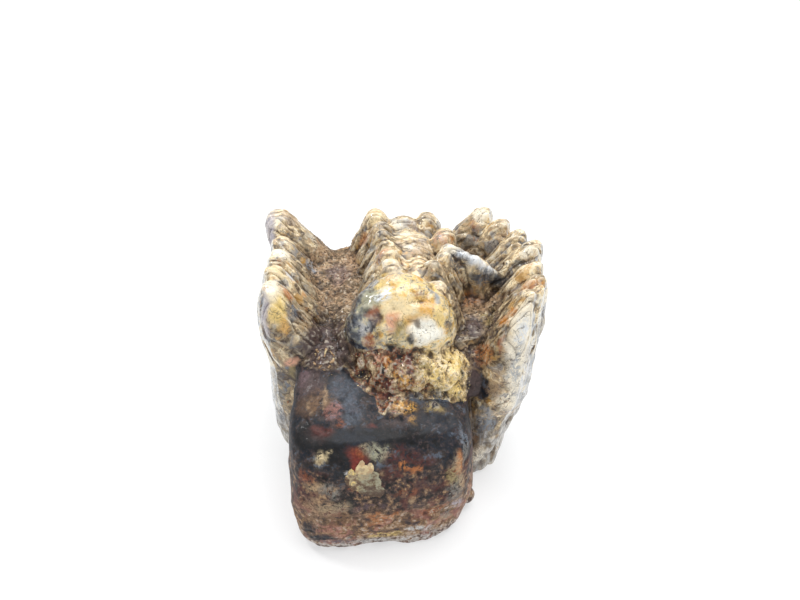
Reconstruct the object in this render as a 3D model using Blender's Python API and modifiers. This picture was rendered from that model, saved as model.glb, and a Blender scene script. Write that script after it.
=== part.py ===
"""A fragment of a fossil stegodon molar, standing on its broken root with the chewing side up.

Metres, +Z up. X runs across the three transverse ridges, Y runs along them and away from the
face that looks at the viewer. The finished solid is moved so that the origin is the middle of its
footprint. The form is laid out in millimetres from a working point on the floor under the front
edge of the root block, and is scaled once, when the mesh is made.
"""

import math

import bmesh
import bpy
from mathutils import Matrix, Vector, noise

MM = 0.001

# Driving sizes of the tooth, in millimetres
CREST_HEIGHT = 61.0
ROOT_DEPTH = 4.0
VALLEY_RISE = 0.16
VALLEY_MIDDLE = 45.0

# Sculpting grid, softening and size of the finished solid
VOXEL = 0.9
SMOOTHING_STEPS = 3
TRIANGLES = 10000

# Natural unevenness: wavelength and depth of the broad swells, the broken root and the crust
SWELL_LENGTH, SWELL_DEPTH = 13.0, 1.0
BROKEN_LENGTH, BROKEN_DEPTH = 6.0, 0.9
CRUST_LENGTH, CRUST_DEPTH = 3.4, 1.1

# How far the pillars wander, and the seed that makes them wander alike in every run
WANDER = 1.3
WANDER_SEED = 1796051091

# Ridge pillars: tip X, tip Y, tip height against the crest, scale across, half width along
LEFT_RIDGE = [
    (-37.0, 70.0, 1.4, 1.18, 7.4),
    (-35.6, 61.0, -3.5, 0.95, 5.4),
    (-34.4, 53.5, -2.6, 0.94, 5.2),
    (-33.4, 46.0, -1.4, 0.94, 5.0),
    (-33.8, 38.8, -1.0, 0.94, 5.0),
    (-33.4, 31.0, -1.2, 0.86, 6.4),
]
RIGHT_RIDGE = [
    (25.6, 72.4, 2.2, 0.95, 6.0),
    (30.2, 66.0, 0.8, 0.94, 5.0),
    (34.2, 58.8, 0.2, 0.95, 5.0),
    (37.4, 51.2, 1.2, 1.00, 5.4),
    (37.4, 43.4, -1.2, 0.98, 4.6),
    (36.4, 36.0, -1.8, 0.86, 4.8),
    (33.0, 28.4, -2.4, 0.66, 6.6),
    (35.8, 31.0, -2.0, 0.50, 5.0),
]
CENTRE_RIDGE = [
    (-8.0, 71.5, 0.8, 1.00, 5.8),
    (-6.0, 65.0, 0.0, 0.96, 4.6),
    (-4.6, 59.0, 0.7, 0.96, 4.2),
    (-3.4, 53.0, 0.0, 0.96, 4.0),
    (-2.6, 47.4, 0.7, 0.96, 3.8),
    (-2.4, 42.0, 0.2, 0.96, 3.8),
    (-2.6, 36.8, 0.7, 0.96, 3.8),
    (-2.2, 31.6, 0.0, 0.96, 4.2),
]
CENTRE_FOLDS = [
    (8.0, 71.0, 0.8, 0.92, 6.8),
    (12.6, 61.5, -1.4, 0.90, 5.4),
    (23.4, 48.4, -7.0, 0.66, 3.4),
    (19.8, 49.4, -3.0, 0.72, 3.6),
    (16.0, 50.4, -1.0, 0.80, 3.8),
    (12.2, 46.8, -0.8, 0.84, 4.0),
    (8.6, 42.4, -0.9, 0.90, 4.2),
    (9.0, 35.0, -2.6, 0.95, 4.6),
]

# Below the tip: depth, half width across, inward shift, share of the half width along
LEFT_PROFILE = [
    (0.0, 1.2, 0.0, 0.22),
    (0.8, 2.5, 0.2, 0.50),
    (3.0, 3.9, 1.0, 0.78),
    (8.0, 6.2, 3.2, 0.95),
    (14.0, 8.9, 5.8, 1.00),
    (22.0, 11.0, 8.0, 1.05),
    (34.0, 11.0, 8.4, 1.05),
    (46.0, 10.5, 8.8, 1.00),
    (56.0, 9.5, 9.6, 0.95),
    (61.0, 8.0, 10.4, 0.88),
    (65.0, 6.0, 11.5, 0.75),
]
RIGHT_PROFILE = [
    (0.0, 1.2, 0.0, 0.22),
    (0.8, 2.5, 0.2, 0.50),
    (3.0, 3.9, 1.0, 0.78),
    (8.0, 6.2, 3.4, 0.95),
    (14.0, 8.9, 6.4, 1.00),
    (22.0, 10.8, 9.0, 1.05),
    (34.0, 10.4, 10.6, 1.05),
    (42.0, 9.8, 12.8, 1.00),
    (48.0, 8.8, 15.6, 0.98),
    (56.0, 7.6, 19.5, 0.92),
    (64.0, 6.0, 24.0, 0.80),
]
MIDDLE_PROFILE = [
    (0.0, 1.2, 0.0, 0.22),
    (0.8, 2.5, 0.0, 0.50),
    (3.0, 4.1, 0.1, 0.78),
    (8.0, 7.2, 0.3, 0.95),
    (14.0, 10.0, 0.6, 1.00),
    (24.0, 11.5, 1.0, 1.05),
    (50.0, 10.0, 1.0, 1.00),
]
PILLAR_GATHER = 0.16

# Height, middle X, middle Y, half width and half depth of the body under the ridges
BODY_SECTIONS = [
    (-ROOT_DEPTH, -4.0, 38.0, 21.0, 25.0),
    (2.0, -4.0, 40.0, 24.0, 28.0),
    (12.0, -3.4, 45.5, 27.5, 26.5),
    (26.0, -1.8, 48.5, 30.0, 25.0),
    (38.0, -0.5, 50.0, 31.0, 23.5),
    (46.0, 0.0, 51.0, 30.0, 23.0),
]
BODY_SQUARENESS = 3.2

# The same for the roots under the outer ridges, which fill the grooves between their pillars
LEFT_ROOT_SECTIONS = [
    (-ROOT_DEPTH, -22.8, 47.0, 8.0, 18.0),
    (3.0, -24.3, 48.0, 9.6, 20.6),
    (14.0, -25.9, 49.5, 10.2, 22.0),
    (26.0, -26.9, 50.5, 9.8, 21.9),
    (36.0, -27.4, 51.0, 8.4, 20.7),
    (42.0, -27.6, 51.0, 6.5, 18.5),
]
RIGHT_ROOT_SECTIONS = [
    (-ROOT_DEPTH, 12.0, 46.0, 7.5, 16.0),
    (3.0, 15.2, 47.0, 8.4, 18.8),
    (12.0, 19.0, 49.0, 9.4, 20.8),
    (24.0, 23.8, 50.5, 9.4, 21.0),
    (34.0, 26.2, 51.5, 8.0, 19.5),
    (41.0, 27.4, 51.5, 6.2, 17.5),
]
ROOT_SQUARENESS = 2.6

# The same for the root block that stands out in front, with its squareness
BLOCK_SECTIONS = [
    (-ROOT_DEPTH, -4.2, 21.5, 17.5, 18.5),
    (0.0, -4.4, 21.0, 21.2, 20.8),
    (3.0, -4.4, 21.0, 22.9, 22.0),
    (8.0, -4.2, 21.0, 23.4, 22.6),
    (20.0, -4.4, 21.0, 23.4, 22.6),
    (27.0, -4.6, 22.0, 23.0, 22.2),
    (31.5, -5.0, 25.0, 22.6, 21.0),
    (35.5, -5.4, 31.0, 21.6, 18.5),
    (39.5, -5.8, 37.0, 20.2, 15.5),
]
BLOCK_SQUARENESS = 4.2
BLOCK_SKEW = 0.13

# Lumps: middle X, Y, Z and half sizes
TROUGH = [
    ((1.0, 69.0, 47.0), (10.5, 8.0, 14.6)),
    ((1.5, 60.0, 46.0), (12.0, 15.0, 13.6)),
    ((4.0, 46.0, 44.0), (11.0, 13.0, 13.6)),
]
KNOB = [
    ((0.0, 32.0, 45.0), (13.0, 12.0, 15.4)),
    ((6.0, 29.5, 46.0), (8.5, 9.0, 11.5)),
    ((-6.5, 30.0, 45.0), (7.8, 9.0, 13.0)),
]
CRUST = [
    ((0.6, 24.4, 37.0), (13.0, 9.6, 9.8)),
    ((9.0, 23.6, 36.8), (8.6, 7.8, 7.8)),
    ((-1.6, 17.6, 32.4), (7.4, 7.6, 4.4)),
    ((11.6, 22.6, 33.4), (6.2, 6.4, 5.6)),
]
MATRIX_FILL = [
    ((-18.5, 33.0, 34.0), (10.0, 16.0, 10.0)),
    ((-20.0, 27.5, 37.5), (7.5, 8.0, 4.2)),
    ((-13.0, 37.0, 38.0), (7.0, 14.0, 9.5)),
    ((18.0, 36.0, 33.0), (8.0, 13.0, 9.5)),
]
SMALL_LUMPS = [
    ((17.8, 14.0, 3.2), (2.6, 3.0, 2.6)),
    ((22.0, 29.0, 4.0), (4.0, 4.0, 5.0)),
]

# Dents of the worn block, the crust and the knob: middle, radius and depth
DENTS = [
    ((-6.0, 0.0, 18.0), 5.0, 1.6),
    ((-13.5, -2.0, 12.0), 7.0, 0.9),
    ((9.0, 1.0, 22.0), 6.5, 1.0),
    ((-17.5, -1.0, 25.0), 6.0, 0.9),
    ((13.0, 1.5, 9.0), 6.0, 0.9),
    ((-1.6, 20.0, 46.0), 3.4, 1.5),
    ((3.6, 18.5, 46.5), 2.6, 1.3),
    ((-9.5, 20.0, 40.5), 4.0, 1.6),
    ((7.5, 13.5, 38.0), 3.2, 1.4),
    ((-1.0, 12.0, 37.0), 3.0, 1.2),
    ((30.5, 40.0, 56.0), 4.4, 1.8),
]


def material(name, colour, roughness):
    made = bpy.data.materials.new(name)
    made.use_nodes = True
    shader = made.node_tree.nodes["Principled BSDF"]
    shader.inputs["Base Color"].default_value = (*colour, 1.0)
    shader.inputs["Roughness"].default_value = roughness
    shader.inputs["Metallic"].default_value = 0.0
    return made


def ellipsoid(bm, middle, half_sizes):
    """A sphere stretched to half_sizes, with its middle at middle."""
    matrix = Matrix.Translation(middle) @ Matrix.Diagonal((*half_sizes, 1.0))
    bmesh.ops.create_uvsphere(bm, u_segments=28, v_segments=18, radius=1.0, matrix=matrix)


def ring_loft(bm, rings):
    """A closed skin over rings of points that run from the bottom up."""
    made = [[bm.verts.new(point) for point in ring] for ring in rings]
    for low, high in zip(made, made[1:]):
        for i in range(len(low)):
            j = (i + 1) % len(low)
            bm.faces.new((low[i], low[j], high[j], high[i]))
    bm.faces.new(reversed(made[0]))
    bm.faces.new(made[-1])


def pillar(bm, tip, profile, inward, scale, along, steps=24):
    """One enamel column of a ridge, widening from its tip to the valley floor."""
    rings = []
    for depth, half, shift, share in reversed(profile):
        middle = Vector((tip[0] + inward * shift * scale, tip[1], tip[2] - depth))
        middle.y += (VALLEY_MIDDLE - tip[1]) * PILLAR_GATHER * depth / CREST_HEIGHT
        middle += WANDER * noise.noise_vector(middle / SWELL_LENGTH)
        ring = []
        for i in range(steps):
            angle = 2 * math.pi * i / steps
            x = half * scale * math.cos(angle)
            y = along * share * math.sin(angle)
            ring.append(middle + Vector((x, y, 0.0)))
        rings.append(ring)
    ring_loft(bm, rings)


def ridge(bm, pillars, profile, inward):
    for x, y, rise, scale, along in pillars:
        pillar(bm, (x, y, CREST_HEIGHT + rise), profile, inward, scale, along)


def superellipse(middle_x, middle_y, half_x, half_y, squareness, skew, steps=48):
    """Points round a rounded rectangle, whose right side is moved back by skew."""
    points = []
    for i in range(steps):
        angle = 2 * math.pi * i / steps
        c, s = math.cos(angle), math.sin(angle)
        x = half_x * math.copysign(abs(c) ** (2 / squareness), c)
        y = half_y * math.copysign(abs(s) ** (2 / squareness), s)
        points.append((middle_x + x, middle_y + y + skew * x))
    return points


def level_loft(bm, sections, squareness, skew, shift):
    """A closed skin over level sections, each (height, middle X, middle Y, half X, half Y)."""
    rings = []
    for height, mx, my, hx, hy in sections:
        outline = superellipse(mx, my, hx, hy, squareness, skew)
        rings.append([(x, y, shift(height, y)) for x, y in outline])
    ring_loft(bm, rings)


def valley_slope(height, y):
    """The valley floors climb towards the back of the tooth."""
    share = max(height, 0.0) / BODY_SECTIONS[-1][0]
    return height + share * VALLEY_RISE * (y - VALLEY_MIDDLE)


def raw_forms():
    """Every overlapping form of the tooth in one mesh, in millimetres."""
    noise.seed_set(WANDER_SEED)
    bm = bmesh.new()
    level_loft(bm, BODY_SECTIONS, BODY_SQUARENESS, 0.0, valley_slope)
    level_loft(bm, LEFT_ROOT_SECTIONS, ROOT_SQUARENESS, 0.0, valley_slope)
    level_loft(bm, RIGHT_ROOT_SECTIONS, ROOT_SQUARENESS, 0.0, valley_slope)
    level_loft(bm, BLOCK_SECTIONS, BLOCK_SQUARENESS, BLOCK_SKEW, lambda height, y: height)
    ridge(bm, LEFT_RIDGE, LEFT_PROFILE, 1.0)
    ridge(bm, RIGHT_RIDGE, RIGHT_PROFILE, -1.0)
    ridge(bm, CENTRE_RIDGE, MIDDLE_PROFILE, 1.0)
    ridge(bm, CENTRE_FOLDS, MIDDLE_PROFILE, -1.0)
    for middle, half_sizes in TROUGH + KNOB + CRUST + MATRIX_FILL + SMALL_LUMPS:
        ellipsoid(bm, middle, half_sizes)
    mesh = bpy.data.meshes.new("raw_forms")
    bm.to_mesh(mesh)
    bm.free()
    return mesh


def smooth_step(low, high, value):
    share = min(max((value - low) / (high - low), 0.0), 1.0)
    return share * share * (3.0 - 2.0 * share)


def nearness(point, lumps, reach):
    """1 inside any of the lumps, falling to 0 at reach times their size."""
    best = 0.0
    for middle, half_sizes in lumps:
        away = Vector([(p - m) / h for p, m, h in zip(point, middle, half_sizes)]).length
        best = max(best, 1.0 - smooth_step(1.0, reach, away))
    return best


def block_share(point):
    """1 on the worn front of the root block, 0 on the ridges."""
    return (1.0 - smooth_step(14.0, 26.0, point.y)) * (1.0 - smooth_step(36.0, 42.0, point.z))


def weather(mesh):
    """Moves each vertex along its normal by the swells, the broken root, the crust and the dents."""
    offsets = []
    for vertex in mesh.vertices:
        point = vertex.co
        crust = nearness(point, CRUST, 1.25)
        worn = block_share(point) * (1.0 - crust)
        root = (1.0 - smooth_step(20.0, 34.0, point.z)) * (1.0 - 0.6 * worn)
        offset = SWELL_DEPTH * noise.noise(point / SWELL_LENGTH)
        offset += BROKEN_DEPTH * root * noise.noise(point / BROKEN_LENGTH)
        offset += CRUST_DEPTH * crust * noise.noise(point / CRUST_LENGTH)
        for middle, radius, depth in DENTS:
            away = (point - Vector(middle)).length
            offset -= depth * (1.0 - smooth_step(0.0, radius, away))
        offsets.append(point + vertex.normal * offset)
    for vertex, moved in zip(mesh.vertices, offsets):
        vertex.co = moved


def applied(obj):
    """The mesh of obj with its modifiers applied."""
    graph = bpy.context.evaluated_depsgraph_get()
    return bpy.data.meshes.new_from_object(obj.evaluated_get(graph))


def fused(parts):
    """One skin round every form, softened."""
    sculpt = bpy.data.objects.new("sculpt", raw_forms())
    parts.objects.link(sculpt)
    remesh = sculpt.modifiers.new("fuse", "REMESH")
    remesh.mode = "VOXEL"
    remesh.voxel_size = VOXEL
    smooth = sculpt.modifiers.new("soften", "SMOOTH")
    smooth.iterations = SMOOTHING_STEPS
    mesh = applied(sculpt)
    bpy.data.objects.remove(sculpt)
    return mesh


def floor_cutter(cutters):
    """A block that cuts the broken root flat at the floor."""
    bm = bmesh.new()
    side = 4 * CREST_HEIGHT
    matrix = Matrix.Translation((0.0, VALLEY_MIDDLE, -side / 2)) @ Matrix.Scale(side, 4)
    bmesh.ops.create_cube(bm, size=1.0, matrix=matrix)
    mesh = bpy.data.meshes.new("floor_cutter")
    bm.to_mesh(mesh)
    bm.free()
    cutter = bpy.data.objects.new("floor_cutter", mesh)
    cutters.objects.link(cutter)
    cutter.hide_render = True
    cutter.display_type = "WIRE"
    return cutter


def thinned_and_cut(mesh, parts, cutters):
    """The skin with few faces, cut flat where it stands."""
    obj = bpy.data.objects.new("thinned", mesh)
    parts.objects.link(obj)
    decimate = obj.modifiers.new("thin", "DECIMATE")
    decimate.ratio = TRIANGLES / (2 * len(mesh.polygons))
    cut = obj.modifiers.new("stand", "BOOLEAN")
    cut.operation = "DIFFERENCE"
    cut.object = floor_cutter(cutters)
    result = applied(obj)
    bpy.data.objects.remove(obj)
    return result


def centred(mesh):
    """Puts the origin at the middle of the footprint's box, on the floor, and returns the move."""
    low = Vector([min(v.co[i] for v in mesh.vertices) for i in range(3)])
    high = Vector([max(v.co[i] for v in mesh.vertices) for i in range(3)])
    move = Vector((-(low.x + high.x) / 2, -(low.y + high.y) / 2, -low.z))
    mesh.transform(Matrix.Translation(move))
    return move


def main():
    for obj in list(bpy.data.objects):
        bpy.data.objects.remove(obj)
    parts = bpy.data.collections.new("fossil_stegodon_tooth")
    cutters = bpy.data.collections.new("cutters")
    bpy.context.scene.collection.children.link(parts)
    bpy.context.scene.collection.children.link(cutters)

    skin = fused(parts)
    weather(skin)
    mesh = thinned_and_cut(skin, parts, cutters)
    mesh.name = "tooth"
    move = centred(mesh)
    mesh.transform(Matrix.Scale(MM, 4))
    tooth = bpy.data.objects.new("tooth", mesh)
    parts.objects.link(tooth)
    tooth.data.materials.clear()
    tooth.data.materials.append(material("fossil_enamel", (0.42, 0.33, 0.22), 0.35))
    mesh.shade_smooth()
    return move


if __name__ == "__main__":
    main()
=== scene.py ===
"""Looks of the fossil stegodon tooth: the worn fragment, its crust, its sandy valleys and the light.

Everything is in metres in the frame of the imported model. The form is laid out in millimetres from a
working point under the front edge of the root block, the same one that the solid uses, and is then
fitted to the solid's box. Stains are placed where the camera sees them and sit on the surface there.
"""

import math

import bmesh
import bpy
import numpy as np
from mathutils import Euler, Matrix, Vector, noise
from mathutils.bvhtree import BVHTree


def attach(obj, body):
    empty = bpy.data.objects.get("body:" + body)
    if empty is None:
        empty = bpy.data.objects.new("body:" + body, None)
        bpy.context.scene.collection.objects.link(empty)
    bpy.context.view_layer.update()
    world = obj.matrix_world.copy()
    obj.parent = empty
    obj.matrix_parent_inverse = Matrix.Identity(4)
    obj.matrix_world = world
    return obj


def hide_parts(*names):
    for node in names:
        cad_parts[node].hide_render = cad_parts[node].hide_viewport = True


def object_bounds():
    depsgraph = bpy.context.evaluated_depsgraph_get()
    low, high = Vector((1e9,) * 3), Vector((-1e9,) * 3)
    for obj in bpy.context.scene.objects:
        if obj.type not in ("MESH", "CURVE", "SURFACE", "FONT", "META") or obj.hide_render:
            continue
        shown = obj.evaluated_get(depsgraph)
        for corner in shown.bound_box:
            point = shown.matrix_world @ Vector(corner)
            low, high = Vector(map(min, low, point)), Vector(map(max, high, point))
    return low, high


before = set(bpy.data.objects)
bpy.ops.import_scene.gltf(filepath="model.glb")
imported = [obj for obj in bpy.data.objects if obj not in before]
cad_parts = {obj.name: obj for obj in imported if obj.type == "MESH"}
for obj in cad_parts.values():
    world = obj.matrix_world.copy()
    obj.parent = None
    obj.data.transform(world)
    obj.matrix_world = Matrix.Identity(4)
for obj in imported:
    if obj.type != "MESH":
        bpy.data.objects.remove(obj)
cad_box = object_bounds()

MM = 0.001

# Camera: the photograph's view, in millimetres from the working point
FRAME_FROM_WORK = Vector((0.336, -37.49, 0.0))
CAMERA_FROM_WORK = Vector((0.0, -110.6, 136.4))
CAMERA_TILT = math.radians(60.0)
CAMERA_LENS, CAMERA_SENSOR = 28.8, 36.0
IMAGE_WIDTH, IMAGE_HEIGHT = 800, 600

# The form, in millimetres
CREST_HEIGHT = 61.0
ROOT_DEPTH = 4.0
VALLEY_RISE = 0.16
VALLEY_MIDDLE = 45.0
VALLEY_FLOOR = 46.0
PILLAR_GATHER = 0.16

# Sculpting grid, softening and faces of the finished skin
VOXEL = 0.45
SMOOTHING_STEPS = 5
SKIN_TRIANGLES = 192000

# Broad unevenness, the same as in the solid
SWELL_LENGTH, SWELL_DEPTH = 13.0, 1.0
BROKEN_LENGTH, BROKEN_DEPTH = 6.0, 0.9
CRUST_LENGTH, CRUST_DEPTH = 3.4, 1.1

# How far the pillars wander, and the seed that makes them wander alike in every run, as in the solid
WANDER = 1.3
WANDER_SEED = 1796051091

# Ridge pillars: tip X, tip Y, tip height against the crest, scale across, half width along
LEFT_RIDGE = [
    (-37.0, 70.0, 1.4, 1.18, 7.4),
    (-35.6, 61.0, -3.5, 0.95, 5.4),
    (-34.4, 53.5, -2.6, 0.94, 5.2),
    (-33.4, 46.0, -1.4, 0.94, 5.0),
    (-33.8, 38.8, -1.0, 0.94, 5.0),
    (-33.4, 31.0, -1.2, 0.86, 6.4),
]
RIGHT_RIDGE = [
    (25.6, 72.4, 2.2, 0.95, 6.0),
    (30.2, 66.0, 0.8, 0.94, 5.0),
    (34.2, 58.8, 0.2, 0.95, 5.0),
    (37.4, 51.2, 1.2, 1.00, 5.4),
    (37.4, 43.4, -1.2, 0.98, 4.6),
    (36.4, 36.0, -1.8, 0.86, 4.8),
    (33.0, 28.4, -2.4, 0.66, 6.6),
    (35.8, 31.0, -2.0, 0.50, 5.0),
]
CENTRE_RIDGE = [
    (-8.0, 71.5, 0.8, 1.00, 5.8),
    (-6.0, 65.0, 0.0, 0.96, 4.6),
    (-4.6, 59.0, 0.7, 0.96, 4.2),
    (-3.4, 53.0, 0.0, 0.96, 4.0),
    (-2.6, 47.4, 0.7, 0.96, 3.8),
    (-2.4, 42.0, 0.2, 0.96, 3.8),
    (-2.6, 36.8, 0.7, 0.96, 3.8),
    (-2.2, 31.6, 0.0, 0.96, 4.2),
]
CENTRE_FOLDS = [
    (8.0, 71.0, 0.8, 0.92, 6.8),
    (12.6, 61.5, -1.4, 0.90, 5.4),
    (23.4, 48.4, -7.0, 0.66, 3.4),
    (19.8, 49.4, -3.0, 0.72, 3.6),
    (16.0, 50.4, -1.0, 0.80, 3.8),
    (12.2, 46.8, -0.8, 0.84, 4.0),
    (8.6, 42.4, -0.9, 0.90, 4.2),
    (9.0, 35.0, -2.6, 0.95, 4.6),
]

# Below the tip: depth, half width across, inward shift, share of the half width along
LEFT_PROFILE = [
    (0.0, 1.2, 0.0, 0.22),
    (0.8, 2.5, 0.2, 0.50),
    (3.0, 3.9, 1.0, 0.78),
    (8.0, 6.2, 3.2, 0.95),
    (14.0, 8.9, 5.8, 1.00),
    (22.0, 11.0, 8.0, 1.05),
    (34.0, 11.0, 8.4, 1.05),
    (46.0, 10.5, 8.8, 1.00),
    (56.0, 9.5, 9.6, 0.95),
    (61.0, 8.0, 10.4, 0.88),
    (65.0, 6.0, 11.5, 0.75),
]
RIGHT_PROFILE = [
    (0.0, 1.2, 0.0, 0.22),
    (0.8, 2.5, 0.2, 0.50),
    (3.0, 3.9, 1.0, 0.78),
    (8.0, 6.2, 3.4, 0.95),
    (14.0, 8.9, 6.4, 1.00),
    (22.0, 10.8, 9.0, 1.05),
    (34.0, 10.4, 10.6, 1.05),
    (42.0, 9.8, 12.8, 1.00),
    (48.0, 8.8, 15.6, 0.98),
    (56.0, 7.6, 19.5, 0.92),
    (64.0, 6.0, 24.0, 0.80),
]
MIDDLE_PROFILE = [
    (0.0, 1.2, 0.0, 0.22),
    (0.8, 2.5, 0.0, 0.50),
    (3.0, 4.1, 0.1, 0.78),
    (8.0, 7.2, 0.3, 0.95),
    (14.0, 10.0, 0.6, 1.00),
    (24.0, 11.5, 1.0, 1.05),
    (50.0, 10.0, 1.0, 1.00),
]

# Height, middle X, middle Y, half width and half depth of the body and of the roots
BODY_SECTIONS = [
    (-ROOT_DEPTH, -4.0, 38.0, 21.0, 25.0),
    (2.0, -4.0, 40.0, 24.0, 28.0),
    (12.0, -3.4, 45.5, 27.5, 26.5),
    (26.0, -1.8, 48.5, 30.0, 25.0),
    (38.0, -0.5, 50.0, 31.0, 23.5),
    (VALLEY_FLOOR, 0.0, 51.0, 30.0, 23.0),
]
LEFT_ROOT_SECTIONS = [
    (-ROOT_DEPTH, -22.8, 47.0, 8.0, 18.0),
    (3.0, -24.3, 48.0, 9.6, 20.6),
    (14.0, -25.9, 49.5, 10.2, 22.0),
    (26.0, -26.9, 50.5, 9.8, 21.9),
    (36.0, -27.4, 51.0, 8.4, 20.7),
    (42.0, -27.6, 51.0, 6.5, 18.5),
]
RIGHT_ROOT_SECTIONS = [
    (-ROOT_DEPTH, 12.0, 46.0, 7.5, 16.0),
    (3.0, 15.2, 47.0, 8.4, 18.8),
    (12.0, 19.0, 49.0, 9.4, 20.8),
    (24.0, 23.8, 50.5, 9.4, 21.0),
    (34.0, 26.2, 51.5, 8.0, 19.5),
    (41.0, 27.4, 51.5, 6.2, 17.5),
]
BLOCK_SECTIONS = [
    (-ROOT_DEPTH, -4.2, 21.5, 17.5, 18.5),
    (0.0, -4.4, 21.0, 21.2, 20.8),
    (3.0, -4.4, 21.0, 22.9, 22.0),
    (8.0, -4.2, 21.0, 23.4, 22.6),
    (20.0, -4.4, 21.0, 23.4, 22.6),
    (27.0, -4.6, 22.0, 23.0, 22.2),
    (31.5, -5.0, 25.0, 22.6, 21.0),
    (35.5, -5.4, 31.0, 21.6, 18.5),
    (39.5, -5.8, 37.0, 20.2, 15.5),
]
BODY_SQUARENESS, ROOT_SQUARENESS, BLOCK_SQUARENESS = 3.2, 2.6, 4.2
BLOCK_SKEW = 0.13

# Lumps: middle X, Y, Z and half sizes
TROUGH = [
    ((1.0, 69.0, 47.0), (10.5, 8.0, 14.6)),
    ((1.5, 60.0, 46.0), (12.0, 15.0, 13.6)),
    ((4.0, 46.0, 44.0), (11.0, 13.0, 13.6)),
]
KNOB = [
    ((0.0, 32.0, 45.0), (13.0, 12.0, 15.4)),
    ((6.0, 29.5, 46.0), (8.5, 9.0, 11.5)),
    ((-6.5, 30.0, 45.0), (7.8, 9.0, 13.0)),
]
CRUST = [
    ((0.6, 24.4, 37.0), (13.0, 9.6, 9.8)),
    ((9.0, 23.6, 36.8), (8.6, 7.8, 7.8)),
    ((-1.6, 17.6, 32.4), (7.4, 7.6, 4.4)),
    ((11.6, 22.6, 33.4), (6.2, 6.4, 5.6)),
]
MATRIX_FILL = [
    ((-18.5, 33.0, 34.0), (10.0, 16.0, 10.0)),
    ((-20.0, 27.5, 37.5), (7.5, 8.0, 4.2)),
    ((-13.0, 37.0, 38.0), (7.0, 14.0, 9.5)),
    ((18.0, 36.0, 33.0), (8.0, 13.0, 9.5)),
]
FOLD_FILL = [
    ((13.8, 49.0, 59.4), (2.8, 2.4, 2.6)),
    ((17.0, 49.2, 57.8), (2.8, 2.4, 2.6)),
    ((20.2, 49.2, 56.0), (2.8, 2.4, 2.6)),
    ((23.0, 49.0, 53.9), (2.6, 2.3, 2.8)),
    ((25.4, 48.8, 51.9), (2.4, 2.2, 2.8)),
    ((27.4, 48.6, 50.0), (2.2, 2.0, 2.8)),
]
SMALL_LUMPS = [
    ((17.8, 14.0, 3.2), (2.6, 3.0, 2.6)),
    ((22.0, 29.0, 4.0), (4.0, 4.0, 5.0)),
]

# Dents of the worn block, the crust and the knob: middle, radius and depth
DENTS = [
    ((-6.0, 0.0, 18.0), 5.0, 1.6),
    ((-13.5, -2.0, 12.0), 7.0, 0.9),
    ((9.0, 1.0, 22.0), 6.5, 1.0),
    ((-17.5, -1.0, 25.0), 6.0, 0.9),
    ((13.0, 1.5, 9.0), 6.0, 0.9),
    ((-1.6, 20.0, 46.0), 3.4, 1.5),
    ((3.6, 18.5, 46.5), 2.6, 1.3),
    ((-9.5, 20.0, 40.5), 4.0, 1.6),
    ((7.5, 13.5, 38.0), 3.2, 1.4),
    ((-1.0, 12.0, 37.0), 3.0, 1.2),
    ((30.5, 40.0, 56.0), 4.4, 1.8),
]

# Fine relief of the skin: where, depth, length of the lumps along X, Y and Z, how far their noise is moved
LUMPS = [
    ("enamel", 0.22, (4.0, 2.0, 4.0), 0.0),
    ("enamel", 0.07, (1.6, 1.6, 1.6), 0.0),
    ("low_enamel", 0.16, (1.3, 1.3, 7.0), 0.0),
    ("crest", 0.16, (2.2, 1.5, 2.2), 0.0),
    ("crust", 0.55, (1.8, 1.8, 1.8), 0.0),
    ("crust", 0.26, (0.8, 0.8, 0.8), 0.0),
    ("valley", 0.26, (0.9, 0.9, 0.9), 0.0),
    ("root", 0.07, (0.9, 0.9, 0.9), 0.0),
    ("valley", 0.5, (2.6, 2.6, 2.6), 0.0),
    ("block", 0.30, (3.4, 3.4, 3.4), 0.0),
    ("block", 0.10, (1.0, 1.0, 1.0), 0.0),
    ("knob", 0.9, (5.0, 4.0, 5.0), 30.0),
    ("knob", 0.35, (2.4, 2.4, 1.6), 0.0),
    ("knob", 0.10, (1.2, 1.2, 1.2), 0.0),
]

# Round pits: where, depth, how far apart, how far their pattern is moved
PITS = [
    ("holes", 1.1, 3.2, 0.0),
    ("crust", 0.25, 1.5, 40.0),
    ("root", 0.4, 4.2, 90.0),
    ("block", 0.35, 3.6, 15.0),
]

# Creases between the enamel plates, and the thin layers at the foot of the block
PLATE_LENGTHS, CREASE_DEPTH, LAYER_DEPTH = (8.0, 2.4, 9.0), 0.38, 0.06


def ellipsoid(bm, middle, half_sizes):
    matrix = Matrix.Translation(middle) @ Matrix.Diagonal((*half_sizes, 1.0))
    bmesh.ops.create_uvsphere(bm, u_segments=40, v_segments=26, radius=1.0, matrix=matrix)


def ring_loft(bm, rings):
    """A closed skin over rings of points that run from the bottom up."""
    made = [[bm.verts.new(point) for point in ring] for ring in rings]
    for low, high in zip(made, made[1:]):
        for i in range(len(low)):
            j = (i + 1) % len(low)
            bm.faces.new((low[i], low[j], high[j], high[i]))
    bm.faces.new(reversed(made[0]))
    bm.faces.new(made[-1])


def pillar(bm, tip, profile, inward, scale, along, steps=24):
    """One enamel column of a ridge, widening from its tip to the valley floor."""
    rings = []
    for depth, half, shift, share in reversed(profile):
        middle = Vector((tip[0] + inward * shift * scale, tip[1], tip[2] - depth))
        middle.y += (VALLEY_MIDDLE - tip[1]) * PILLAR_GATHER * depth / CREST_HEIGHT
        middle += WANDER * noise.noise_vector(middle / SWELL_LENGTH)
        ring = []
        for i in range(steps):
            angle = 2 * math.pi * i / steps
            x = half * scale * math.cos(angle)
            y = along * share * math.sin(angle)
            ring.append(middle + Vector((x, y, 0.0)))
        rings.append(ring)
    ring_loft(bm, rings)


def ridge(bm, pillars, profile, inward):
    for x, y, rise, scale, along in pillars:
        pillar(bm, (x, y, CREST_HEIGHT + rise), profile, inward, scale, along)


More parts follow.
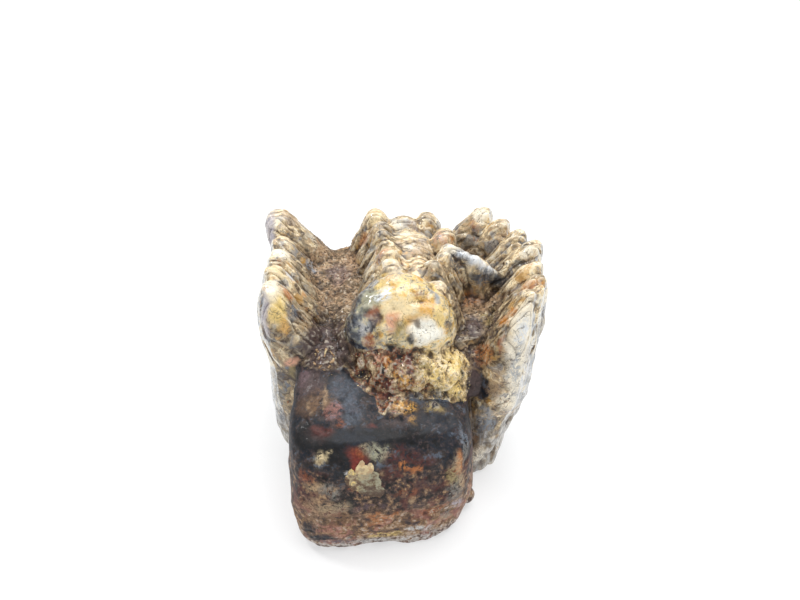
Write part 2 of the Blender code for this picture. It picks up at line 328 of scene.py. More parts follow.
def superellipse(middle_x, middle_y, half_x, half_y, squareness, skew, steps=48):
    """Points round a rounded rectangle, whose right side is moved back by skew."""
    points = []
    for i in range(steps):
        angle = 2 * math.pi * i / steps
        c, s = math.cos(angle), math.sin(angle)
        x = half_x * math.copysign(abs(c) ** (2 / squareness), c)
        y = half_y * math.copysign(abs(s) ** (2 / squareness), s)
        points.append((middle_x + x, middle_y + y + skew * x))
    return points


def level_loft(bm, sections, squareness, skew, shift):
    """A closed skin over level sections, each (height, middle X, middle Y, half X, half Y)."""
    rings = []
    for height, mx, my, hx, hy in sections:
        outline = superellipse(mx, my, hx, hy, squareness, skew)
        rings.append([(x, y, shift(height, y)) for x, y in outline])
    ring_loft(bm, rings)


def valley_slope(height, y):
    """The valley floors climb towards the back of the tooth."""
    share = max(height, 0.0) / VALLEY_FLOOR
    return height + share * VALLEY_RISE * (y - VALLEY_MIDDLE)


def raw_forms():
    """Every overlapping form of the tooth in one mesh, in millimetres."""
    noise.seed_set(WANDER_SEED)
    bm = bmesh.new()
    level_loft(bm, BODY_SECTIONS, BODY_SQUARENESS, 0.0, valley_slope)
    level_loft(bm, LEFT_ROOT_SECTIONS, ROOT_SQUARENESS, 0.0, valley_slope)
    level_loft(bm, RIGHT_ROOT_SECTIONS, ROOT_SQUARENESS, 0.0, valley_slope)
    level_loft(bm, BLOCK_SECTIONS, BLOCK_SQUARENESS, BLOCK_SKEW, lambda height, y: height)
    ridge(bm, LEFT_RIDGE, LEFT_PROFILE, 1.0)
    ridge(bm, RIGHT_RIDGE, RIGHT_PROFILE, -1.0)
    ridge(bm, CENTRE_RIDGE, MIDDLE_PROFILE, 1.0)
    ridge(bm, CENTRE_FOLDS, MIDDLE_PROFILE, -1.0)
    for middle, half_sizes in TROUGH + KNOB + CRUST + MATRIX_FILL + FOLD_FILL + SMALL_LUMPS:
        ellipsoid(bm, middle, half_sizes)
    mesh = bpy.data.meshes.new("raw_forms")
    bm.to_mesh(mesh)
    bm.free()
    return mesh


def fade(low, high, value):
    """0 below low, 1 above high, smooth between, for arrays."""
    share = np.clip((value - low) / (high - low), 0.0, 1.0)
    return share * share * (3.0 - 2.0 * share)


def near(points, lumps, reach):
    """1 inside any of the lumps, falling to 0 at reach times their size."""
    best = np.zeros(len(points))
    for middle, half_sizes in lumps:
        away = np.linalg.norm((points - np.array(middle)) / np.array(half_sizes), axis=1)
        best = np.maximum(best, 1.0 - fade(1.0, reach, away))
    return best


def regions(points, normals):
    """The named parts of the surface, each a mask from 0 to 1."""
    x, y, z = points.T
    nx, ny, nz = normals.T
    wave = noise_at(points, (6.0, 6.0, 9.0))
    floor = VALLEY_FLOOR + VALLEY_RISE * (y - VALLEY_MIDDLE)
    crust = near(points, CRUST, 1.22) * (1.0 - fade(46.0, 48.5, z))
    knob = near(points, KNOB, 1.12) * fade(43.5, 46.5, z) * (1.0 - crust)
    block = (1.0 - fade(22.0, 28.0, y)) * (1.0 - fade(38.5, 41.5, z))
    block *= (1.0 - fade(23.0, 27.5, np.abs(x + 4.4) - 0.05 * z + 3.0 * wave)) * (1.0 - crust)
    valley = (1.0 - fade(1.5, 6.0, z - floor)) * fade(-14.0, -9.0, z - floor) * fade(0.25, 0.6, nz)
    valley *= (1.0 - crust) * (1.0 - block) * (1.0 - knob)
    crest = fade(50.0, 58.0, z) * (1.0 - knob)
    back = fade(0.3, 0.75, ny) * fade(56.0, 64.0, y) * (1.0 - fade(48.0, 56.0, z + 4.0 * wave))
    root = np.maximum(1.0 - fade(14.0, 30.0, z + 8.0 * wave), 0.8 * back) * (1.0 - block) * (1.0 - crust)
    flank = (1.0 - fade(3.0, 12.0, z - floor)) * fade(-8.0, -3.0, z - floor)
    flank *= (1.0 - crust) * (1.0 - block) * (1.0 - knob)
    outside = fade(0.35, 0.75, np.abs(nx)) * np.sign(nx * x).clip(0.0, 1.0) * fade(22.0, 28.0, np.abs(x))
    return {
        "crust": crust,
        "knob": knob,
        "block": block,
        "valley": valley,
        "crest": crest,
        "root": root,
        "flank": flank,
        "outside": outside,
    }


def noise_at(points, lengths):
    """Smooth noise from -1 to 1 whose lumps are lengths long along X, Y and Z."""
    scaled = points / np.array(lengths, dtype=float)
    return np.array([noise.noise(point) for point in scaled.tolist()])


def pits_at(points, length):
    """1 in the middle of scattered round pits, 0 between them."""
    found = [noise.voronoi(point)[0][0] for point in (points / length).tolist()]
    return 1.0 - fade(0.05, 0.42, np.array(found))


def coordinates(mesh):
    flat = np.empty(len(mesh.vertices) * 3)
    mesh.vertices.foreach_get("co", flat)
    return flat.reshape(-1, 3)


def directions(mesh):
    flat = np.empty(len(mesh.vertices) * 3)
    mesh.vertex_normals.foreach_get("vector", flat)
    return flat.reshape(-1, 3)


def weathered(points, normals):
    """Points moved along their normals by swells, folds, pits and wear."""
    part = regions(points, normals)
    y, z = points[:, 1], points[:, 2]
    worn = (1.0 - fade(14.0, 26.0, y)) * (1.0 - fade(36.0, 42.0, z))
    crust = near(points, CRUST, 1.25)
    worn = worn * (1.0 - crust)
    root = (1.0 - fade(20.0, 34.0, z)) * (1.0 - 0.6 * worn)
    enamel = (1.0 - crust) * (1.0 - part["block"]) * (1.0 - part["knob"]) * (1.0 - part["valley"])

    move = SWELL_DEPTH * noise_at(points, (SWELL_LENGTH,) * 3)
    move += BROKEN_DEPTH * root * noise_at(points, (BROKEN_LENGTH,) * 3)
    move += CRUST_DEPTH * crust * noise_at(points, (CRUST_LENGTH,) * 3)
    for middle, radius, depth in DENTS:
        away = np.linalg.norm(points - np.array(middle), axis=1)
        move -= depth * (1.0 - fade(0.0, radius, away))

    places = {
        **part,
        "crust": crust,
        "enamel": enamel,
        "low_enamel": enamel * (1.0 - fade(30.0, 44.0, z)),
        "high_enamel": enamel * fade(32.0, 44.0, z),
        "holes": crust * fade(0.0, 0.35, noise_at(points + 20.0, (5.0,) * 3)),
        "foot": part["block"] * (1.0 - fade(7.0, 12.0, z)),
    }
    creases = 1.0 - fade(0.0, 0.16, np.abs(noise_at(points, PLATE_LENGTHS)))
    move -= CREASE_DEPTH * places["high_enamel"] * creases
    layers = np.sin(3.4 * z + 3.0 * noise_at(points, (9.0, 9.0, 5.0)))
    move += LAYER_DEPTH * places["foot"] * layers
    for place, depth, lengths, moved in LUMPS:
        move += depth * places[place] * noise_at(points + moved, lengths)
    for place, depth, length, moved in PITS:
        move -= depth * places[place] * pits_at(points + moved, length)
    return points + normals * move[:, None]


def applied(obj):
    """The mesh of obj with its modifiers applied."""
    graph = bpy.context.evaluated_depsgraph_get()
    return bpy.data.meshes.new_from_object(obj.evaluated_get(graph))


def placed(name, data):
    """A new object in the scene."""
    made = bpy.data.objects.new(name, data)
    bpy.context.scene.collection.objects.link(made)
    return made


def with_modifier(mesh, kind, **settings):
    """A new mesh made from mesh by one modifier."""
    holder = placed("holder", mesh)
    modifier = holder.modifiers.new("step", kind)
    for name, value in settings.items():
        setattr(modifier, name, value)
    result = applied(holder)
    bpy.data.objects.remove(holder)
    return result


def cut_flat(mesh):
    """Cuts the broken root off at the floor and closes the cut."""
    bm = bmesh.new()
    bm.from_mesh(mesh)
    everything = bm.verts[:] + bm.edges[:] + bm.faces[:]
    bmesh.ops.bisect_plane(bm, geom=everything, plane_co=(0, 0, 0), plane_no=(0, 0, -1), clear_outer=True)
    open_edges = [edge for edge in bm.edges if edge.is_boundary]
    bmesh.ops.holes_fill(bm, edges=open_edges, sides=0)
    bm.to_mesh(mesh)
    bm.free()


def fitted_to(points, box):
    """Points stretched by a hair so that their box is the given one."""
    low, high = points.min(axis=0), points.max(axis=0)
    wanted_low, wanted_high = np.array(box[0]), np.array(box[1])
    return wanted_low + (points - low) / (high - low) * (wanted_high - wanted_low)


def set_coordinates(mesh, points):
    mesh.vertices.foreach_set("co", points.astype(np.float32).ravel())
    mesh.update()


def hollow_of(mesh, steps, depth):
    """How far each point lies in a hollow (positive) or on an edge (negative), in depths."""
    smooth = coordinates(with_modifier(mesh, "SMOOTH", iterations=steps))
    away = ((smooth - coordinates(mesh)) * directions(mesh)).sum(axis=1)
    return np.clip(away / depth, -1.0, 1.0)


def store(mesh, name, values):
    layer = mesh.attributes.new(name, "FLOAT", "POINT")
    layer.data.foreach_set("value", values.astype(np.float32))


def tooth_skin():
    """The weathered skin of the whole fragment, with its masks as attributes."""
    skin = with_modifier(raw_forms(), "REMESH", mode="VOXEL", voxel_size=VOXEL)
    skin = with_modifier(skin, "SMOOTH", iterations=SMOOTHING_STEPS)
    set_coordinates(skin, weathered(coordinates(skin), directions(skin)))
    cut_flat(skin)
    skin = with_modifier(skin, "DECIMATE", ratio=SKIN_TRIANGLES / (2 * len(skin.polygons)))
    for name, values in regions(coordinates(skin), directions(skin)).items():
        store(skin, name, values)
    # groove and hollow place the painted shade in creases and hollows and the painted highlight on edges
    store(skin, "groove", hollow_of(skin, 6, 0.10))
    store(skin, "hollow", hollow_of(skin, 60, 0.7))
    set_coordinates(skin, fitted_to(coordinates(skin), cad_box))
    skin.shade_smooth()
    return skin


# Colours, as they look, from 0 to 255
PALETTE = {
    "ice": (228, 233, 238),
    "white_cream": (250, 240, 218),
    "bright_cream": (255, 252, 238),
    "cream": (240, 218, 172),
    "dull_cream": (212, 194, 150),
    "butter": (236, 206, 132),
    "honey": (218, 164, 78),
    "amber": (190, 122, 46),
    "orange": (196, 124, 68),
    "rust": (146, 80, 46),
    "red": (112, 42, 32),
    "dark_red": (88, 38, 30),
    "salmon": (222, 166, 136),
    "pink": (170, 116, 104),
    "mauve": (104, 84, 88),
    "tan": (186, 156, 120),
    "khaki": (172, 156, 126),
    "driftwood": (126, 108, 84),
    "sand": (168, 136, 104),
    "brown": (122, 92, 64),
    "umber": (80, 60, 46),
    "dark_umber": (50, 40, 34),
    "black": (12, 12, 14),
    "blue_black": (26, 32, 42),
    "slate": (82, 90, 102),
    "blue_grey": (140, 150, 162),
    "grey": (142, 138, 130),
    "pale_grey": (204, 202, 200),
    "lilac_grey": (184, 178, 188),
    "olive": (150, 134, 84),
    "olive_grey": (160, 158, 134),
    "purple_brown": (80, 64, 62),
}

# Rows of colours: the value of a noise from 0 to 1 at which each is pure
RAMPS = {
    "ridges": (
        (0.34, "dark_umber"), (0.41, "umber"), (0.46, "driftwood"), (0.50, "khaki"),
        (0.54, "tan"), (0.58, "cream"), (0.66, "white_cream"),
    ),
    # painted shade for the lower flanks of the ridges
    "flanks": ((0.38, "black"), (0.46, "dark_umber"), (0.54, "driftwood"), (0.64, "khaki")),
    "outer_faces": (
        (0.30, "umber"), (0.38, "grey"), (0.43, "pale_grey"),
        (0.48, "ice"), (0.54, "white_cream"),
    ),
    "roots": (
        (0.34, "dark_umber"), (0.43, "driftwood"), (0.50, "grey"),
        (0.57, "pale_grey"), (0.66, "tan"),
    ),
    "near_sand": ((0.34, "dark_umber"), (0.44, "purple_brown"), (0.56, "driftwood")),
    "far_sand": ((0.34, "umber"), (0.46, "driftwood"), (0.56, "sand"), (0.68, "khaki")),
    "left_crust": (
        (0.38, "black"), (0.44, "dark_umber"), (0.48, "rust"),
        (0.52, "driftwood"), (0.57, "tan"), (0.64, "cream"),
    ),
    "right_crust": (
        (0.38, "dark_umber"), (0.43, "olive"), (0.47, "tan"),
        (0.51, "butter"), (0.55, "cream"), (0.60, "white_cream"),
    ),
    "knob_glaze": (
        (0.34, "umber"), (0.40, "olive_grey"), (0.47, "cream"),
        (0.55, "butter"), (0.66, "honey"),
    ),
    "knob_shade": ((0.38, "blue_black"), (0.50, "slate"), (0.60, "olive_grey"), (0.70, "cream")),
    "block_front": (
        (0.39, "black"), (0.46, "dark_umber"), (0.52, "purple_brown"),
        (0.58, "brown"), (0.67, "tan"),
    ),
    # the slate at the top of this row is partly a painted sheen
    "block_top": ((0.36, "black"), (0.46, "blue_black"), (0.56, "dark_umber"), (0.66, "slate")),
    "block_foot": (
        (0.35, "dark_umber"), (0.42, "purple_brown"), (0.49, "brown"),
        (0.55, "sand"), (0.64, "pale_grey"),
    ),
    "pale_stone_left": ((0.38, "umber"), (0.45, "brown"), (0.52, "khaki"), (0.62, "butter")),
    "pale_stone_right": ((0.38, "umber"), (0.46, "driftwood"), (0.54, "olive_grey"), (0.66, "khaki")),
}


def linear(name):
    """A palette colour in linear light, with full alpha."""
    channels = [channel / 255.0 for channel in PALETTE[name]]
    light = [c / 12.92 if c <= 0.04045 else ((c + 0.055) / 1.055) ** 2.4 for c in channels]
    return (*light, 1.0)


# Stains: colour, where the camera sees the middle, half sizes in millimetres, strength
PLAIN_STAINS = [
    # far end of the left ridge
    ("lilac_grey", (269, 236), (2.2, 6.0, 9.0), 0.85),
    ("tan", (291, 218), (3.0, 4.0, 4.0), 0.6),
    # left ridge, from its tops down its inner flank
    ("white_cream", (284, 252), (3.4, 5.0, 2.4), 0.9),
    ("cream", (276, 268), (2.4, 4.0, 3.4), 0.7),
    ("honey", (303, 259), (1.4, 1.6, 1.4), 0.8),
    ("ice", (290, 276), (1.8, 2.4, 3.4), 0.8),
    ("orange", (288, 294), (1.5, 2.0, 2.0), 0.85),
    ("butter", (276, 306), (3.0, 4.0, 5.4), 1.0),
    ("white_cream", (272, 288), (2.4, 4.0, 3.0), 0.8),
    ("honey", (283, 325), (1.7, 2.4, 2.8), 0.75),
    ("lilac_grey", (264, 316), (1.3, 3.0, 7.0), 0.8),
    ("salmon", (290, 362), (1.8, 2.0, 1.8), 0.9),
    # painted shade: black in the groove between the root block and the left ridge
    ("black", (295, 388), (0.5, 2.5, 5.5), 0.85),
    ("olive", (293, 372), (0.9, 2.0, 2.6), 0.7),
    # left valley
    ("purple_brown", (322, 344), (6.5, 9.0, 5.0), 0.95),
    ("purple_brown", (345, 352), (3.0, 4.0, 3.0), 0.7),
    ("mauve", (340, 274), (3.6, 6.0, 3.0), 0.55),
    ("sand", (352, 262), (2.4, 5.0, 3.0), 0.7),
    # middle ridge, thin plates of the left row
    ("cream", (375, 218), (2.4, 3.0, 2.6), 0.8),
    # painted shadow: slate below the far tip of the middle ridge
    ("slate", (381, 233), (1.6, 2.4, 2.0), 0.6),
    ("orange", (365, 240), (2.2, 2.4, 3.0), 0.6),
    ("white_cream", (397, 225), (2.4, 1.2, 1.6), 0.9),
    ("white_cream", (406, 234), (3.2, 1.0, 1.6), 0.9),
    ("white_cream", (412, 246), (3.2, 1.1, 1.6), 1.0),
    ("orange", (384, 250), (2.4, 1.2, 2.4), 0.75),
    ("cream", (394, 259), (3.4, 1.1, 1.8), 0.85),
    ("white_cream", (401, 273), (3.4, 1.2, 1.8), 0.9),
    ("butter", (381, 284), (4.0, 1.6, 1.6), 0.9),
    # trough and the folds of the right row
    ("tan", (422, 247), (3.6, 4.0, 2.0), 0.6),
    ("blue_black", (495, 281), (2.6, 2.4, 2.2), 0.8),
    ("cream", (471, 272), (1.8, 1.8, 2.8), 0.8),
    ("white_cream", (452, 250), (2.6, 2.4, 1.6), 0.9),
    ("ice", (463, 254), (3.0, 2.6, 1.6), 0.95),
    ("ice", (475, 261), (3.0, 2.6, 1.8), 0.95),
    ("ice", (486, 269), (3.0, 2.6, 1.8), 0.95),
    ("white_cream", (430, 282), (2.2, 0.8, 1.0), 0.8),
    # knob
    ("olive_grey", (371, 300), (3.6, 3.2, 3.4), 0.9),
    # painted highlight: the white glint on the knob's top left
    ("white_cream", (384, 287), (3.0, 1.0, 0.9), 0.9),
    # painted shadow: blue-black on the knob's steep left side
    ("blue_black", (352, 340), (2.0, 2.6, 2.6), 0.95),
    ("rust", (374, 313), (1.7, 1.8, 1.6), 0.85),
    ("mauve", (377, 320), (1.5, 1.6, 1.6), 0.7),
    ("cream", (394, 310), (3.8, 3.0, 3.4), 0.85),
    ("salmon", (394, 321), (2.2, 2.4, 2.8), 0.9),
    ("cream", (413, 309), (2.8, 3.0, 3.2), 0.8),
    ("honey", (427, 306), (2.4, 2.8, 3.0), 0.9),
    ("honey", (414, 326), (3.0, 2.4, 3.4), 0.7),
    ("olive", (402, 330), (2.0, 2.0, 3.0), 0.8),
    ("bright_cream", (427, 333), (4.2, 3.4, 3.4), 1.0),
    ("black", (411, 340), (1.1, 1.2, 1.4), 0.95),
    ("blue_grey", (436, 297), (1.1, 2.4, 3.0), 0.85),
    ("butter", (441, 313), (1.2, 2.4, 3.4), 0.8),
    ("cream", (441, 350), (2.6, 2.0, 2.0), 0.85),
    # painted shadow in the crack under the crust's overhang
    ("black", (390, 346), (0.7, 1.6, 2.0), 0.95),
    # crust
    ("rust", (369, 341), (1.7, 1.8, 1.6), 0.85),
    ("dark_red", (408, 361), (1.5, 1.5, 1.5), 0.9),
    ("dark_red", (386, 387), (1.5, 1.5, 1.8), 0.9),
    ("dark_red", (385, 397), (1.2, 1.2, 1.2), 0.85),
    ("butter", (455, 361), (3.0, 3.0, 3.0), 0.9),
    ("butter", (456, 385), (2.4, 2.6, 3.2), 0.95),
    ("slate", (416, 399), (2.0, 1.6, 1.6), 0.8),
    # right valley
    ("purple_brown", (475, 328), (2.4, 5.0, 4.0), 0.9),
    ("purple_brown", (472, 385), (2.6, 5.0, 5.0), 0.95),
    ("sand", (478, 305), (3.0, 4.0, 3.0), 0.6),
    # right ridge
    ("white_cream", (480, 214), (2.2, 3.0, 2.4), 0.85),
    ("white_cream", (526, 251), (3.0, 1.7, 2.0), 0.95),
    # painted shadow in the gap below the protruding conelet
    ("blue_black", (516, 262), (2.4, 1.1, 1.6), 0.85),
    ("orange", (527, 287), (4.4, 2.0, 2.4), 0.6),
    ("white_cream", (524, 314), (2.6, 3.4, 5.0), 0.9),
    ("white_cream", (521, 342), (3.6, 6.0, 10.0), 0.95),
    ("amber", (504, 322), (1.0, 2.4, 3.4), 0.9),
    ("amber", (511, 312), (1.9, 1.6, 1.4), 0.8),
    ("rust", (502, 343), (0.8, 2.4, 3.0), 0.8),
    ("white_cream", (514, 380), (2.4, 4.0, 5.0), 0.85),
    ("blue_grey", (513, 399), (1.7, 4.0, 3.4), 0.8),
    # root block: leaning upper face
    ("purple_brown", (309, 384), (4.4, 4.0, 3.0), 0.8),
    ("umber", (308, 405), (3.4, 3.0, 4.0), 0.8),
    # painted sheen: slate where the leaning upper face reflects the light
    ("slate", (345, 390), (4.0, 4.0, 3.0), 0.5),
    ("slate", (350, 410), (3.4, 3.4, 3.4), 0.55),
    ("black", (346, 438), (4.4, 2.4, 2.4), 0.8),
    ("black", (306, 432), (3.0, 2.4, 2.2), 0.8),
    ("tan", (325, 396), (0.5, 3.0, 3.4), 0.7),
    ("tan", (311, 406), (0.3, 2.0, 2.2), 0.5),
    ("dark_red", (318, 433), (3.4, 1.6, 2.4), 0.85),
    ("dark_red", (375, 426), (1.2, 1.2, 1.2), 0.8),
    # root block: front face
    ("black", (303, 437), (2.6, 3.0, 3.8), 0.85),
    ("black", (322, 443), (4.0, 3.0, 3.0), 0.8),
    ("blue_black", (365, 437), (6.0, 3.0, 2.2), 0.75),
    ("black", (392, 436), (5.0, 3.0, 2.6), 0.75),
    ("black", (335, 452), (5.4, 3.0, 4.6), 0.85),
    ("dark_red", (357, 455), (2.0, 2.4, 2.2), 0.95),
    ("red", (355, 462), (1.3, 2.0, 3.0), 0.9),
    ("dark_red", (367, 459), (1.6, 2.0, 1.4), 0.9),
    ("orange", (459, 463), (1.2, 2.4, 3.0), 0.8),
    ("blue_black", (308, 528), (3.0, 3.0, 2.0), 0.85),
    ("blue_black", (318, 538), (4.4, 2.0, 1.3), 0.9),
]
FLECKED_STAINS = [
    # far end of the left ridge
    ("white_cream", (312, 238), (4.0, 2.0, 1.2), 0.7),
    # left ridge, from its tops down its inner flank
    ("khaki", (306, 290), (3.4, 5.0, 4.0), 0.6),
    ("blue_grey", (311, 266), (3.6, 2.4, 2.0), 0.75),
    ("blue_black", (281, 283), (2.0, 0.9, 0.9), 0.75),
    ("slate", (293, 313), (1.5, 2.4, 3.6), 0.7),
    ("tan", (303, 322), (2.2, 3.0, 2.4), 0.6),
    ("ice", (272, 392), (2.6, 3.0, 10.0), 0.8),
    ("grey", (281, 385), (1.7, 3.0, 5.0), 0.7),
    ("slate", (281, 414), (1.6, 3.0, 2.4), 0.8),
    # left valley
    ("dark_umber", (331, 318), (3.4, 6.0, 3.0), 0.8),
    ("umber", (342, 292), (2.0, 4.0, 2.0), 0.7),
    # middle ridge, thin plates of the left row
    ("brown", (398, 266), (4.0, 0.8, 2.0), 0.7),
    ("rust", (378, 262), (2.0, 2.4, 2.4), 0.45),
    # trough and the folds of the right row
    ("brown", (416, 226), (3.6, 4.4, 2.0), 0.75),
    ("salmon", (437, 238), (2.4, 2.6, 2.0), 0.6),
    ("orange", (449, 241), (2.2, 2.0, 2.0), 0.7),
    ("slate", (456, 262), (4.0, 2.6, 3.4), 0.8),
    ("slate", (482, 277), (4.4, 2.6, 3.0), 0.8),
    ("umber", (431, 268), (2.6, 1.6, 2.0), 0.6),
    ("grey", (457, 281), (2.6, 2.0, 2.0), 0.6),
    ("orange", (470, 299), (3.0, 2.2, 2.2), 0.5),
    ("black", (463, 290), (2.4, 0.7, 1.4), 0.6),
    # knob
    # painted highlight: the white glint on the knob's top
    ("ice", (383, 297), (2.4, 1.4, 1.4), 0.9),
    ("slate", (352, 308), (2.2, 3.4, 3.0), 0.85),
    ("blue_black", (346, 327), (1.8, 3.0, 2.8), 0.9),
    ("pale_grey", (363, 327), (2.0, 2.4, 2.4), 0.8),
    ("orange", (396, 317), (1.2, 1.4, 1.6), 0.5),
    ("rust", (421, 293), (2.6, 1.0, 1.0), 0.75),
    ("slate", (447, 325), (1.3, 2.0, 2.4), 0.75),
    ("white_cream", (455, 333), (1.7, 2.0, 2.2), 0.8),
    ("olive_grey", (400, 346), (2.2, 1.6, 1.6), 0.7),
    # crust
    ("grey", (383, 344), (1.9, 1.8, 1.6), 0.75),
    ("salmon", (379, 357), (2.2, 1.8, 1.8), 0.75),
    ("amber", (388, 362), (1.0, 1.8, 2.0), 0.8),
    ("white_cream", (360, 363), (1.3, 1.3, 1.3), 0.8),
    ("blue_black", (363, 374), (2.4, 1.6, 2.0), 0.8),
    ("olive", (424, 371), (3.0, 1.6, 1.4), 0.8),
    ("mauve", (409, 370), (1.5, 1.3, 1.5), 0.7),
    ("honey", (403, 380), (2.4, 1.8, 2.0), 0.7),
    ("butter", (438, 376), (3.4, 2.0, 2.2), 0.85),
    ("cream", (446, 366), (3.0, 1.8, 2.0), 0.8),
    ("honey", (402, 408), (3.2, 2.2, 1.8), 0.85),
    ("butter", (433, 409), (2.1, 1.7, 1.9), 0.9),
    ("white_cream", (433, 406), (1.0, 1.0, 1.0), 0.9),
    ("honey", (415, 419), (1.4, 1.2, 1.2), 0.9),
    ("slate", (440, 397), (2.6, 1.8, 2.0), 0.75),
    # right valley
    ("orange", (484, 354), (2.6, 3.0, 3.0), 0.75),
    ("olive", (489, 318), (2.2, 3.4, 3.0), 0.5),
    # right ridge
    ("rust", (474, 225), (1.8, 2.4, 2.0), 0.65),
    ("tan", (502, 230), (2.6, 3.0, 2.4), 0.5),
    ("brown", (513, 292), (3.4, 2.0, 2.6), 0.7),
    ("umber", (532, 300), (3.4, 1.6, 1.2), 0.7),
    ("white_cream", (508, 402), (3.0, 4.0, 5.0), 0.8),
    ("blue_grey", (520, 350), (1.2, 4.0, 4.6), 0.6),
    ("ice", (523, 332), (2.0, 4.0, 4.0), 0.8),
    ("blue_grey", (515, 372), (1.8, 4.0, 5.0), 0.7),
    ("slate", (540, 330), (0.8, 3.0, 4.0), 0.7),
    ("umber", (543, 314), (0.9, 2.2, 3.4), 0.8),
    ("umber", (536, 350), (0.8, 2.2, 5.0), 0.65),
    ("tan", (497, 384), (2.0, 3.0, 5.0), 0.75),
    ("blue_grey", (486, 420), (2.8, 4.0, 4.0), 0.8),
    ("slate", (481, 431), (1.0, 3.0, 4.4), 0.75),
    ("brown", (473, 441), (1.5, 3.0, 4.0), 0.75),
    ("white_cream", (479, 455), (2.2, 3.0, 4.0), 0.7),
    # root block: leaning upper face
    ("mauve", (303, 378), (2.0, 2.4, 1.6), 0.7),
    ("brown", (321, 400), (3.0, 3.0, 4.2), 0.55),
    ("black", (368, 434), (4.4, 2.4, 2.6), 0.8),
    ("black", (392, 432), (5.0, 3.0, 3.0), 0.8),
    ("black", (418, 430), (5.0, 3.0, 3.0), 0.7),
    ("dark_umber", (430, 412), (4.0, 3.4, 3.0), 0.6),
    ("blue_black", (444, 424), (4.0, 3.4, 3.4), 0.6),
    ("purple_brown", (400, 418), (4.0, 3.0, 3.0), 0.5),
    ("pink", (333, 411), (2.2, 2.0, 3.4), 0.5),
    ("rust", (339, 426), (1.3, 1.3, 3.0), 0.6),
    # root block: front face
    ("black", (424, 432), (5.0, 3.0, 2.6), 0.7),
    ("blue_black", (448, 440), (3.0, 3.0, 3.6), 0.7),
    ("blue_black", (348, 441), (4.0, 2.6, 3.0), 0.7),
    ("rust", (359, 453), (1.2, 1.4, 1.2), 0.6),
    ("khaki", (365, 450), (1.0, 1.0, 1.2), 0.6),
    ("pale_grey", (347, 471), (0.8, 1.0, 1.0), 0.7),
    ("driftwood", (381, 491), (1.4, 1.0, 1.2), 0.7),
    ("cream", (321, 459), (1.7, 1.6, 1.5), 0.85),
    ("cream", (330, 452), (0.8, 0.8, 0.6), 0.6),
    ("olive_grey", (379, 454), (2.6, 2.0, 2.3), 0.8),
    ("black", (409, 440), (3.6, 2.0, 2.6), 0.7),
    ("blue_black", (437, 424), (4.0, 3.0, 3.0), 0.6),
    ("dark_red", (394, 456), (3.0, 2.0, 2.6), 0.6),
    ("dark_red", (418, 462), (4.0, 2.0, 3.0), 0.6),
    ("orange", (407, 468), (1.5, 1.2, 1.1), 0.85),
    ("orange", (418, 469), (1.3, 1.2, 1.1), 0.75),
    ("dark_red", (392, 474), (3.0, 2.0, 2.0), 0.6),
    ("purple_brown", (425, 485), (4.4, 2.0, 3.0), 0.6),
    ("olive", (376, 492), (1.8, 1.2, 1.2), 0.7),
    ("rust", (355, 489), (1.5, 1.0, 0.8), 0.7),
    ("dark_umber", (374, 474), (3.4, 1.2, 3.6), 0.35),
    ("rust", (307, 478), (2.2, 2.0, 2.4), 0.65),
    ("tan", (315, 489), (2.4, 2.0, 2.2), 0.8),
    ("grey", (331, 491), (2.4, 2.0, 2.4), 0.7),
    ("black", (352, 500), (3.6, 1.6, 1.5), 0.75),
    ("sand", (318, 508), (5.0, 2.0, 3.4), 0.7),
    ("khaki", (336, 508), (4.4, 2.0, 2.0), 0.5),
    ("brown", (337, 519), (5.0, 2.0, 2.6), 0.6),
    ("pink", (330, 530), (5.0, 2.0, 1.6), 0.5),
    ("mauve", (372, 507), (5.4, 2.0, 1.0), 0.6),
    ("orange", (384, 517), (5.0, 2.0, 1.3), 0.6),
    ("orange", (378, 522), (3.0, 1.6, 0.8), 0.5),
    ("rust", (409, 492), (3.6, 2.0, 1.5), 0.6),
    ("rust", (437, 508), (4.4, 2.0, 1.6), 0.75),
    ("dark_red", (425, 516), (4.0, 2.0, 1.2), 0.5),
    ("purple_brown", (418, 505), (2.4, 1.6, 1.2), 0.7),
    ("tan", (413, 501), (0.9, 1.0, 0.9), 0.7),
    ("grey", (455, 490), (2.0, 3.0, 5.0), 0.6),
    ("khaki", (457, 470), (2.0, 3.0, 5.0), 0.55),
    ("tan", (461, 482), (1.3, 2.4, 3.0), 0.75),
    ("olive", (452, 477), (1.4, 1.6, 2.4), 0.6),
    ("blue_grey", (461, 437), (0.8, 2.4, 5.0), 0.45),
    ("grey", (465, 452), (0.8, 2.4, 3.0), 0.6),
    ("lilac_grey", (457, 503), (1.6, 2.4, 1.8), 0.7),
    ("tan", (445, 517), (3.0, 2.0, 0.9), 0.8),
    ("butter", (386, 534), (5.0, 2.0, 0.9), 0.7),
    ("pale_grey", (372, 540), (5.0, 2.0, 0.9), 0.85),
    ("pale_grey", (420, 528), (4.4, 2.0, 0.9), 0.8),
    ("grey", (446, 514), (2.4, 2.0, 1.4), 0.7),
    ("slate", (336, 543), (4.0, 2.0, 0.8), 0.7),
]


